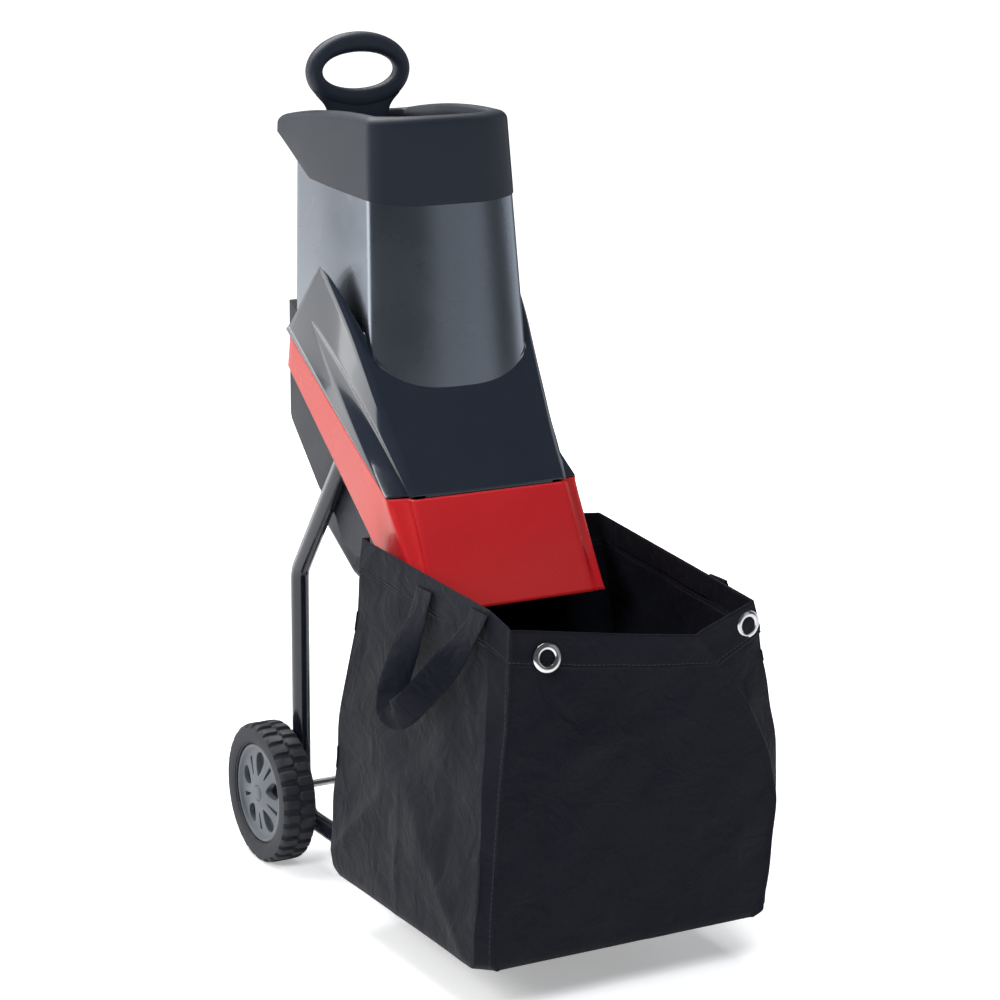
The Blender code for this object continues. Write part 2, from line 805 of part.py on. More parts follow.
def make_vents(housing):
    """Cooling slots through the pot's rear wall and its bottom."""
    for k in range(5):
        x = (k - 2) * 0.020
        outline = rounded(box_points(x - 0.003, x + 0.003, -0.215, -0.170), 0.0029, 2)
        slot = prism(outline, lambda a, b, h: deck(a, h, b), pot_end - 0.012, pot_end + 0.008)
        cut(housing, add_object(f"vent_rear_{k}", slot, None, (0, 0, 0), True))
        centre = (pot_start + pot_end) / 2
        outline = rounded(box_points(x - 0.003, x + 0.003, centre - 0.024, centre + 0.024), 0.0029, 2)
        slot = prism(outline, deck_top_place, -pot_depth - 0.008, -pot_depth + 0.012)
        cut(housing, add_object(f"vent_bottom_{k}", slot, None, (0, 0, 0), True))


def make_rear_recesses(housing):
    """Openings in the rear wall for the switch plate and the inlet."""
    face = housing_rear_y
    hole = rounded(box_points(-switch_half_width + 0.004, switch_half_width - 0.004,
                              switch_z - switch_half_height + 0.004, switch_z + switch_half_height - 0.004),
                   0.004, 2)
    cut(housing, add_object("switch_hole", prism(hole, rear_place, face - 0.010, face + 0.010), None,
                            (0, 0, 0), True))
    hole = circle_points(0, inlet_z, inlet_radius - 0.005, 20)
    cut(housing, add_object("inlet_hole", prism(hole, rear_place, face - 0.010, face + 0.010), None,
                            (0, 0, 0), True))


def lock_axis():
    """Across, along the deck: where the lock screw stands."""
    return 0.0, deck_coords(lock_reach, deck_height(lock_reach))[0]


make_housing()


# Red chute cover: a U of wall with its front drawn down to the lip

def hood_point(v, q, inset=0.0):
    """Side wall of the hood. v runs from the seam to the horn, q from the ridge down to the deck."""
    ridge = deck(mix(ridge_half_low, ridge_half_high, v) - inset,
                 mix(ridge_start[0], ridge_end[0], v) + inset * 0.6,
                 mix(ridge_start[1], ridge_end[1], v) - inset)
    edge = deck(body_half_width - inset, deck_length * v + inset * 0.4, gap)
    point = ridge.lerp(edge, q)
    # the side drops steeply from the ridge before it runs out to the edge
    point.x += (body_half_width - inset - point.x) * sin(pi * min(1.0, q * 1.15)) * 0.30 * (1 - v)
    return point


def hollow_line(v, inset=0.0):
    """The tapering hollow in the hood's side at one station: edges and floor, from the ridge down."""
    depth = hollow_depth * max(0.0, 1 - v / hollow_reach)
    upper = mix(0.10, 0.58, min(1.0, v / hollow_reach))
    lower = mix(0.97, 0.585, min(1.0, v / hollow_reach))
    line = []
    for q, sink in ((upper, 0.0), (mix(upper, lower, 0.22), 1.0), (mix(upper, lower, 0.6), 0.6),
                    (lower, 0.0)):
        point = hood_point(v, q, inset)
        point.x -= depth * sink
        point.y += depth * sink * 0.3
        line.append(point)
    return line


def cover_stations():
    """Half of the wall's outer line, from the front centre to the rear end: top point, bottom point."""
    seat = bead_radius + 0.0004
    front = ridge_start
    lip_front = Vector((0, lip_y - 0.0005, lip_z - 0.001))
    drop = Vector((0, -sin(radians(28)), -cos(radians(28)))) * seat

    def lip(x, back=0.0):
        return lip_front + Vector((x, back, back * 0.4))
    hollow = [p + drop * share for p, share in zip(hollow_line(0), (1.0, 0.95, 0.8, 0.45))]
    stations = [
        (deck(0, *front) + drop, lip(0)),
        (deck(ridge_half_low - 0.010, *front) + drop, lip(lip_half_width - 0.030)),
        (hood_point(0, 0) + drop, lip(lip_half_width - 0.021)),
        (hollow[0], lip(lip_half_width - 0.017, 0.0002)),
        (hollow[1], lip(lip_half_width - 0.012, 0.0008)),
        (hollow[2], lip(lip_half_width - 0.006, 0.0010)),
        (hollow[3], lip(lip_half_width - 0.001, 0.0012)),
        (deck(body_half_width, 0.001, -gap), lip(lip_half_width, 0.0045)),
        (deck(body_half_width, 0.012, -gap), Vector((lip_half_width + 0.001, cover_tail_y, cover_tail_z))),
        (deck(body_half_width, 0.022, -gap), deck(body_half_width, 0.0012, -strip_low(0.0012))),
    ]
    for along in (0.040, 0.15, 0.284):
        stations.append((deck(body_half_width, along, -gap), deck(body_half_width, along, -strip_low(along))))
    corner = 0.0145
    for turn in (30, 60, 90):
        a = radians(turn)
        x = body_half_width - corner + corner * cos(a)
        along = 0.284 + corner * sin(a)
        stations.append((deck(x, along, -gap), deck(x, along, -strip_low(along))))
    x = housing_half_width + gap
    stations.append((deck(x, 0.2985, -gap), deck(x, 0.2985, -strip_low(0.2985))))
    return stations


def inward(points):
    """Move a line of points in by one wall, square to its run and level with the deck."""
    out = []
    normal = deck(0, 0, 1) - deck(0, 0, 0)
    count = len(points)
    for i, p in enumerate(points):
        ahead = points[min(i + 1, count - 1)] - p
        behind = p - points[max(i - 1, 0)]
        run = (ahead.normalized() if ahead.length else Vector()) + (behind.normalized() if behind.length else Vector())
        run -= normal * run.dot(normal)
        side = normal.cross(run.normalized())
        out.append(p + side * wall)
    return out


def make_cover():
    half = cover_stations()
    mirror = Matrix.Scale(-1, 3, Vector((1, 0, 0)))
    stations = [(mirror @ a, mirror @ b) for a, b in reversed(half[1:])] + half
    tops = [a for a, b in stations]
    lows = [b for a, b in stations]
    tops_in = inward(tops)
    lows_in = inward(lows)
    for point in tops_in:
        if abs(point.x) < ridge_half_low:
            # the inner edge is bevelled to clear the bead
            point += Vector((0, -sin(radians(28)), -cos(radians(28)))) * 0.0045
    rings = [[tops[i], lows[i], lows_in[i], tops_in[i]] for i in range(len(stations))]
    cover = add_object("chute_cover", loft(rings), cover_red)
    bore = bead_radius + 0.0004
    for word, x in (("left", -cradle_x), ("right", cradle_x)):
        arc = []
        for turn in (-135, -105, -75, -45, -20):
            arc.append((hinge_y + bore * cos(radians(turn)), hinge_z + bore * sin(radians(turn))))
        for turn in (-20, -45, -75):
            arc.append((hinge_y + 2.0 * bore * cos(radians(turn)), hinge_z + 2.0 * bore * sin(radians(turn))))
        arc += [(hinge_y - 0.0045, hinge_z - 0.0130), (hinge_y - 0.0092, hinge_z - 0.0115)]
        cradle = prism(arc, side_place, x - cradle_half, x + cradle_half)
        fuse(cover, add_object(f"cradle_{word}", cradle, None, (0, 0, 0), True))


make_cover()


# Blade chamber, motor and rotor

# the flats of a bore turned in 16 steps still clear the shaft at every angle
bearing_bore = (shaft_radius + gap / 3) / cos(pi / 16)


def make_chamber():
    """A pan round the disc, open towards the chute, with the upper bearing seat under its floor."""
    floor_top = -chamber_depth
    floor_low = floor_top - wall
    seat = bearing_radius + gap
    top = -0.0022
    flange = 0.1145
    profile = [
        (shaft_radius + 0.0015, floor_top),
        (chamber_radius, floor_top),
        (chamber_radius, top),
        (flange, top),
        (flange, top - 0.003),
        (chamber_radius + wall, top - 0.003),
        (chamber_radius + wall, floor_low),
        (seat + 0.004, floor_low),
        (seat + 0.004, floor_low - bearing_width),
        (seat, floor_low - bearing_width),
        (seat, floor_low - 0.0005),
        (shaft_radius + 0.0015, floor_low - 0.0005),
    ]
    chamber = add_object("blade_chamber", revolve(profile, 28, rotor_place), housing_grey)
    # discharge gap towards the chute
    gate = box_points(-0.062, 0.062, -0.02, rotor_along - 0.070)
    gate_cut = prism(gate, deck_top_place, floor_top + 0.0005, 0.01)
    cut(chamber, add_object("discharge_gate", gate_cut, None, (0, 0, 0), True))
    # the flange is trimmed where the tray's front wall stands
    front = box_points(-0.13, 0.13, -0.05, rotor_along - chamber_radius - wall / 2)
    cut(chamber, add_object("flange_trim", prism(front, deck_top_place, -0.05, 0.01), None, (0, 0, 0), True))
    stator_top_up = -stator_top
    for k in range(2):
        # posts that carry the stator
        turn = radians(45) + pi * k
        a = (stator_radius - 0.006) * cos(turn)
        b = (stator_radius - 0.006) * sin(turn)
        post = prism(circle_points(a, b, 0.005, 10), rotor_place, stator_top_up + gap, floor_low + 0.001)
        fuse(chamber, add_object(f"stator_post_{k}", post, None, (0, 0, 0), True))
    ring = turned(bearing_radius, floor_low - bearing_width, floor_low - 0.0005 - gap, 16, rotor_place,
                  bearing_bore, 0.0008)
    add_object("bearing_upper", ring, bright_steel)


def make_stator():
    """Laminated ring with two pole windings standing at both ends."""
    top = -stator_top
    low = top - stator_length
    profile = [
        (stator_bore, low), (stator_bore + 0.004, low - 0.010), (stator_radius - 0.008, low - 0.010),
        (stator_radius - 0.006, low), (stator_radius, low), (stator_radius, top),
               (stator_radius - 0.0125, top),
        (stator_radius - 0.014, top + 0.010), (stator_bore + 0.004, top + 0.010), (stator_bore, top),
    ]
    stator = add_object("stator", revolve(profile, 24, rotor_place), lamination)
    for k, x in enumerate((-stator_radius, stator_radius)):
        flat = box_points(x - 0.004, x + 0.004, -0.06, 0.06)
        cutter = prism(flat, rotor_place, low - 0.02, top + 0.02)
        cut(stator, add_object(f"stator_flat_{k}", cutter, None, (0, 0, 0), True))


def lower_bearing_up():
    return -pot_depth + wall + 0.010


def make_bracket():
    """Bar under the stator that holds the lower bearing and the brush holders."""
    low = lower_bearing_up()
    top = low + bearing_width + 0.003
    seat = bearing_radius + gap
    bar = rounded(box_points(-0.012, 0.012, -0.050, 0.050), 0.004, 2)
    bracket = add_object("bearing_bracket", prism(bar, rotor_place, low, top), lamination)
    hub = prism(circle_points(0, 0, seat + 0.004, 20), rotor_place, low - 0.0005, top)
    fuse(bracket, add_object("bracket_hub", hub, None, (0, 0, 0), True))
    stator_low = -stator_top - stator_length
    for k, b in enumerate((-0.0470, 0.0470)):
        post = prism(rounded(box_points(-0.008, 0.008, b - 0.0026, b + 0.0026), 0.001, 1), rotor_place,
                     top - 0.001,
                     stator_low - gap)
        fuse(bracket, add_object(f"bracket_post_{k}", post, None, (0, 0, 0), True))
        brush_b = 0.029 if b > 0 else -0.029
        holder = prism(box_points(-0.007, 0.007, brush_b - 0.008, brush_b + 0.008), rotor_place, top - 0.001,
                       top + 0.024)
        fuse(bracket, add_object(f"brush_holder_{k}", holder, None, (0, 0, 0), True))
    for k, word in enumerate(("front", "rear")):
        side = -1 if k == 0 else 1
        start = commutator_radius + 0.0005
        end = 0.034
        brush_low = top + 0.0125
        outline = box_points(-0.004, 0.004, min(side * start, side * end), max(side * start, side * end))
        grow = gap
        pocket = box_points(-0.004 - grow, 0.004 + grow, min(side * 0.010, side * (end + grow)),
                            max(side * 0.010, side * (end + grow)))
        cut(bracket, add_object(f"brush_pocket_{word}", prism(pocket, rotor_place, brush_low - grow,
                                                              brush_low + 0.008
                                                              + grow), None, (0, 0, 0), True))
        add_object(f"carbon_brush_{word}", prism(outline, rotor_place, brush_low, brush_low + 0.008), carbon)
    hole = turned(seat, low - 0.01, low + bearing_width, 20, rotor_place)
    cut(bracket, add_object("bracket_seat", hole, None, (0, 0, 0), True))
    through = turned(shaft_radius + 0.0015, low, top + 0.04, 16, rotor_place)
    cut(bracket, add_object("bracket_bore", through, None, (0, 0, 0), True))
    ring = turned(bearing_radius, low, low + bearing_width - gap, 16, rotor_place, bearing_bore, 0.0008)
    add_object("bearing_lower", ring, bright_steel)
    return top


def make_rotor(bracket_top):
    origin = rotor_place(0, 0, -disc_depth)
    low = lower_bearing_up() - 0.002
    top = -disc_depth + disc_thickness
    boss = shaft_radius + 0.004
    shaft = [(0, low), (shaft_radius - 0.001, low), (shaft_radius, low + 0.001),
             (shaft_radius, -disc_depth - 0.006),
             (boss, -disc_depth - 0.006), (boss, -disc_depth - gap), (shaft_radius, -disc_depth - gap),
             (shaft_radius, top - 0.001), (0, top - 0.001)]
    shaft_bm = revolve(shaft, 16, rotor_place, False)
    add_object("rotor_shaft", shaft_bm, bright_steel, origin)
    bore = shaft_radius + gap / 2
    stack_top = -stator_top + 0.002
    stack_low = -stator_top - stator_length - 0.002
    comm_top = bracket_top + 0.0285
    comm_low = comm_top - commutator_length
    profile = [
        (bore, comm_low), (commutator_radius, comm_low), (commutator_radius, comm_top),
        (shaft_radius + 0.006, comm_top), (shaft_radius + 0.006, stack_low - 0.008),
        (armature_radius - 0.006, stack_low - 0.006), (armature_radius - 0.003, stack_low),
        (armature_radius, stack_low), (armature_radius, stack_top), (armature_radius - 0.003, stack_top),
        (armature_radius - 0.008, stack_top + 0.008), (bore, stack_top + 0.008),
    ]
    rings = []
    for k in range(24):
        turn = 2 * pi * k / 24
        groove = 0.0022 if k % 2 else 0.0
        rings.append([rotor_place((r - groove * (r == armature_radius)) * cos(turn),
                                  (r - groove * (r == armature_radius)) * sin(turn), h) for r, h in profile])
    add_object("armature", loft_loop(rings), lamination, origin)
    make_fan(origin, bore)
    make_disc(origin)


def make_fan(origin, bore):
    """Cooling fan between the upper bearing and the windings."""
    floor_low = -chamber_depth - wall
    top = floor_low - bearing_width - 0.0015
    low = top - 0.0095
    rings = []
    blades = 8
    for k in range(4 * blades):
        turn = 2 * pi * k / (4 * blades)
        on_blade = k % 4 in (0, 1)
        sweep = 0.06 if k % 4 in (1, 2) else -0.06
        inner = low if on_blade else top - 0.002
        reach = fan_radius
        profile = [(bore, low + 0.0005), (shaft_radius + 0.004, low + 0.0005), (shaft_radius + 0.005, inner),
                   (reach, inner), (reach, top), (bore, top)]
        rings.append([rotor_place(r * cos(turn + sweep), r * sin(turn + sweep), h) for r, h in profile])
    add_object("cooling_fan", loft_loop(rings), button_black, origin)


def make_disc(origin):
    """Cutting disc with two bolted knives, each over a slot that lets the chips through."""
    low = -disc_depth
    top = low + disc_thickness
    disc = add_object("cutting_disc", turned(disc_radius, low, top, 32, rotor_place, shaft_radius + gap),
                      blade_steel, origin)
    half_l = knife_length / 2
    for k in range(2):
        word = "ab"[k]
        turn = pi * k + radians(20)

        def spun(a, b, up, turn=turn):
            return rotor_place(a * cos(turn) - b * sin(turn), a * sin(turn) + b * cos(turn), up)
        slot = rounded(box_points(knife_offset - half_l, knife_offset + half_l, -knife_width / 2 - chip_slot,
                                  -knife_width / 2 - 0.0005), 0.004, 2)
        cut(disc, add_object(f"chip_slot_{word}", prism(slot, spun, low - 0.01, top + 0.01), None, origin,
                             True))
        seat = top + gap
        blade = [(-knife_width / 2 - 0.004, seat + 0.0002), (knife_width / 2, seat),
                 (knife_width / 2, seat + knife_thickness), (-knife_width / 2 + 0.004,
                                                             seat + knife_thickness)]
        rings = [[spun(a, b, up) for b, up in blade] for a in (knife_offset - half_l, knife_offset + half_l)]
        knife = add_object(f"knife_{word}", loft(rings), bright_steel, origin)
        for j, a in enumerate((knife_offset - 0.018, knife_offset + 0.018)):
            def screw_place(p, q, up, a=a, spun=spun):
                return spun(a + p, 0.004 + q, up)
            head_top = seat + knife_thickness - gap
            hole = revolve([(0, low - 0.01), (0.0028, low - 0.01), (0.0028, head_top - 0.0020),
                            (0.0050, head_top + gap), (0.0050, head_top + 0.01), (0, head_top + 0.01)], 10,
                           screw_place, False)
            cutter = add_object(f"knife_hole_{word}_{j}", hole, None, origin, True)
            cut(knife, cutter)
            cut(disc, cutter)
            screw = [(0, low + 0.0005), (0.0025, low + 0.0005), (0.0025, head_top - 0.0022),
                     (0.0042, head_top - 0.0002),
                     (0.0042, head_top), (0.0018, head_top), (0.0018, head_top - 0.0012),
                     (0, head_top - 0.0012)]
            add_object(f"knife_screw_{word}_{j + 1}", revolve(screw, 10, screw_place, False), bright_steel,
                       origin)
    bolt_low = top + gap
    bolt = [(0, bolt_low), (0.016, bolt_low), (0.016, bolt_low + 0.0015), (0.008, bolt_low + 0.0025),
            (0.008, bolt_low + 0.0060), (0.007, bolt_low + 0.0068), (0, bolt_low + 0.0068)]
    add_object("disc_bolt", revolve(bolt, 12, rotor_place, False), bright_steel, origin)


make_chamber()
make_stator()
make_rotor(make_bracket())


# Hood

def hood_ring(v, inset=0.0, floor=gap):
    """Closed outline at one station: front panel, ridge, side wall with its hollow, deck."""
    right = []
    ridge = hood_point(v, 0, inset)
    right.append(Vector((0, ridge.y, ridge.z)))
    right.append(Vector((min(ridge.x, ridge_half_low) - ridge_round, ridge.y, ridge.z)))
    right.append(Vector((ridge.x - ridge_round, ridge.y, ridge.z)))
    right.append(hood_point(v, 0.03, inset))
    right.extend(hollow_line(v, inset))
    low = hood_point(v, 1.0, inset)
    along = deck_coords(low.y, low.z)[0]
    right.append(deck(low.x, along, floor))
    left = [Vector((-p.x, p.y, p.z)) for p in reversed(right[1:])]
    return right + left


def make_hood():
    shares = [0.0, 1 / 6, 0.39, 0.61, 0.83, 1.0]
    stations = [hollow_reach * share for share in shares] + [mix(hollow_reach, 1.0, 0.65), 1.0]
    hood = add_object("hood", loft([hood_ring(v) for v in stations]), hood_black)
    bead = prism(circle_points(hinge_y, hinge_z, bead_radius, 12), side_place, -bead_half_length,
                 bead_half_length)
    fuse(hood, add_object("hinge_bead", bead, None, (0, 0, 0), True))
    inner = add_object("hood_hollow", loft([hood_ring(v, wall, -0.02) for v in (0.03, 0.35, 0.69)]), None,
                       (0, 0, 0),
                       True)
    for word, side in (("left", -1), ("right", 1)):
        cut(hood, add_object(f"hood_cap_{word}", cap_solid(side), None, (0, 0, 0), True))
        front, top = cap_corner[1:]
        rear = cap_tail[1] - 0.020
        low = deck_height(front + 0.084) - 0.027
        pocket = [(front + 0.004, top - 0.006), (rear, cap_tail[2] - 0.003), (rear - 0.004, low),
                  (front + 0.084, low)]
        hollow = prism(pocket, side_place, side * pocket_inner_x, side * pocket_outer_x)
        cut(hood, add_object(f"hood_pocket_{word}", hollow, None, (0, 0, 0), True))
    cut(hood, inner)
    return hood


def cap_solid(side):
    """Space above the hood's top, which dishes inwards from the horn to the hopper."""
    horn = deck(ridge_half_high, *ridge_end)
    tail = deck(body_half_width, deck_length, 0)
    corner = Vector(cap_corner)
    inner_tail = Vector(cap_tail)
    high = horn.z + 0.13
    rings = []
    for x in (corner.x - 0.020, corner.x, ridge_half_high, body_half_width + 0.007):
        t = max(0.0, (x - corner.x) / (ridge_half_high - corner.x))
        front = corner.lerp(horn, t)
        rear = inner_tail.lerp(tail, t)
        sink = -cap_sink * sin(pi * min(1.0, t))
        outline = [
            (front.y - 0.0005, front.z),
            (mix(front.y, rear.y, 0.5), mix(front.z, rear.z, 0.5) + sink),
            (rear.y + 0.03, rear.z - 0.02),
            (rear.y + 0.05, high),
            (front.y - 0.0005, high),
        ]
        rings.append([Vector((side * x, y, z)) for y, z in outline])
    return loft(rings)


# Hopper: section through height

def hopper_half(z):
    return mix(hopper_half_low, hopper_half_high, (z - hopper_low_z) / (hopper_high_z - hopper_low_z))


def hopper_corner(z):
    return mix(hopper_corner_low, hopper_corner_high, (z - hopper_low_z) / (hopper_high_z - hopper_low_z))


def hopper_rear(z):
    return mix(hopper_rear_low, hopper_rear_high, (z - hopper_low_z) / (hopper_high_z - hopper_low_z))


def hopper_section(z, inset=0.0, rear=None, rear_radius=0.020):
    """Plan of the hopper at one height, as x and y: bowed front, straight sides, rounded corners."""
    half = hopper_half(z) - inset
    front = hopper_corner(z) + inset
    back = (hopper_rear(z) if rear is None else rear) - inset
    side_y = [mix(back, front, 0.255), mix(back, front, 0.65)]
    points = [(half, back), (-half, back), (-half, side_y[0]), (-half, side_y[1]), (-half, front)]
    radii = [rear_radius, rear_radius, 0, 0, 0.012]
    for k in range(1, 8):
        t = -1 + 2 * k / 8
        points.append((half * t, front - hopper_bulge * (1 - abs(t) ** 3)))
        radii.append(0)
    points += [(half, front), (half, side_y[1]), (half, side_y[0])]
    radii += [0.012, 0, 0]
    return rounded(points, [max(0.002, r - inset) if r else 0 for r in radii], 3)


def hopper_ring(z_of, inset=0.0, rear=None, rear_radius=0.020):
    """Ring round the hopper at the height that z_of gives; the walls between such rings are straight."""
    low = hopper_section(hopper_low_z, inset, rear, rear_radius)
    high = hopper_section(hopper_high_z, inset, rear, rear_radius)
    ring = []
    for (low_x, low_y), (high_x, high_y) in zip(low, high):
        share = 0.5
        for _ in range(5):
            x = mix(low_x, high_x, share)
            y = mix(low_y, high_y, share)
            share = (z_of(x, y) - hopper_low_z) / (hopper_high_z - hopper_low_z)
        ring.append(Vector((x, y, z_of(x, y))))
    return ring


def hopper_rings(inset, base_up, top_z):
    """Two rings: the lower one lies in a plane parallel to the deck."""
    return [hopper_ring(lambda x, y: deck_height(y, base_up), inset), hopper_ring(lambda x, y: top_z, inset)]


def make_hopper():
    top = collar_low_z + collar_overlap
    outer = hopper_rings(0, gap * 2, top)
    inner = hopper_rings(hopper_skin, gap * 2, top)
    hopper = add_object("hopper_body", shell(outer, inner), hopper_silver)
    return hopper


def make_collar():
    """Feed rim: sleeve over the hopper, rounded lip, beak at the rear."""
    def low_z(x, y):
        corner_y = hopper_corner(collar_low_z)
        bow = min(1.0, max(0.0, corner_y - y) / hopper_bulge)
        side = collar_rise * max(0.0, y - corner_y) + beak_rise * max(0.0, y - beak_start_y)
        return collar_low_z + collar_dip * (1 - bow) + side

    def top_z(x, y):
        t = (y - hopper_corner(hopper_high_z)) / (beak_y - hopper_corner(hopper_high_z))
        return mix(collar_top_front, collar_top_rear, max(0.0, t))

    proud = -collar_proud
    seat = -gap
    lip = 0.010
    hopper_top = collar_low_z + collar_overlap
    outer = [
        hopper_ring(low_z, proud),
        hopper_ring(lambda x, y: mix(low_z(x, min(y, hopper_rear_high)), top_z(x, y), 0.5), proud, beak_y,
                    0.007),
        hopper_ring(lambda x, y: top_z(x, y) - lip, proud, beak_y, 0.007),
        hopper_ring(lambda x, y: top_z(x, y) - lip * 0.3, proud + lip * 0.3, beak_y, 0.007),
        hopper_ring(top_z, proud + lip, beak_y, 0.007),
    ]
    inner = [
        hopper_ring(low_z, seat),
        hopper_ring(lambda x, y: hopper_top + gap, seat),
        hopper_ring(lambda x, y: hopper_top + gap, 0.003),
        hopper_ring(lambda x, y: top_z(x, y) - lip * 1.2, lip + 0.010, beak_y),
        hopper_ring(lambda x, y: top_z(x, y) - lip * 0.3, lip + 0.006, beak_y),
    ]
    add_object("feed_collar", shell(outer, inner), collar_grey)


def make_feed_plate():
    """Floor of the hopper with the feed opening over the knives."""
    low = feed_plate_up
    plate = [hopper_ring(lambda x, y, up=up: deck_height(y, up),
                         hopper_skin + 2 * gap) for up in (low, low + wall)]
    feed = add_object("feed_plate", loft(plate), housing_grey)
    rim = rounded(box_points(-feed_half_width - wall, feed_half_width + wall,
                             feed_along - feed_half_length - wall,
                             feed_along + feed_half_length + wall), 0.012, 3)
    collar = prism(rim, deck_top_place, low + 0.001, low + feed_lip)
    fuse(feed, add_object("feed_rim", collar, None, (0, 0, 0), True))
    hole = rounded(box_points(-feed_half_width, feed_half_width, feed_along - feed_half_length,
                              feed_along + feed_half_length), 0.010, 3)
    cut(feed, add_object("feed_hole", prism(hole, deck_top_place, -0.02, 0.05), None, (0, 0, 0), True))


hood_piece = make_hood()
make_hopper()
make_collar()
make_feed_plate()
hole_rings = hopper_rings(-3 * gap, -0.03, collar_low_z + 0.05)
cut(hood_piece, add_object("hopper_hole", loft(hole_rings), None, (0, 0, 0), True))


# Plunger: ring handle, stem and paddle in one moulding

def make_plunger():
    origin = (plunger_x, plunger_y, ring_centre_z)
    paddle_low_z = deck_height(plunger_y + stem_thickness / 2, feed_plate_up + wall) + gap
    steps = 28
    rings = []
    for k in range(steps):
        turn = 2 * pi * k / steps
        c = cos(turn)
        s = sin(turn)
        thick = ring_thickness * (1 + 0.25 * s * s)
        rx = ring_width / 2 - thick / 2
        rz = ring_height / 2 - thick / 2
        centre = Vector((rx * c, 0, rz * s))
        normal = Vector((c / rx, 0, s / rz)).normalized()
        ring = []
        for j in range(10):
            a = 2 * pi * j / 10
            ring.append(Vector(origin) + centre + normal * (thick / 2 * cos(a)) + Vector((0, 1, 0)) *
                        (ring_depth / 2 * sin(a)))
        rings.append(ring)
    plunger = add_object("plunger", loft_loop(rings), collar_grey, origin)
    half = stem_width / 2
    low_ring = ring_centre_z - ring_height / 2 + 0.010
    outline = [
        (-half * 1.25, low_ring), (half * 1.25, low_ring), (half, low_ring - 0.030), (half, 0.850),
        (paddle_width / 2, 0.800), (paddle_width / 2, paddle_low_z), (-paddle_width / 2, paddle_low_z),
        (-paddle_width / 2, 0.800), (-half, 0.850), (-half, low_ring - 0.030),
    ]
    outline = rounded(outline, [0.002, 0.002, 0.02, 0.02, 0.01, 0.012, 0.012, 0.01, 0.02, 0.02], 2)
    blade = prism([(a + plunger_x, b) for a, b in outline], rear_place, plunger_y - stem_thickness / 2,
                  plunger_y + stem_thickness / 2)
    fuse(plunger, add_object("plunger_stem", blade, None, origin, True))


make_plunger()


# Lock: bracket on the hopper, captive sleeve, knob and screw

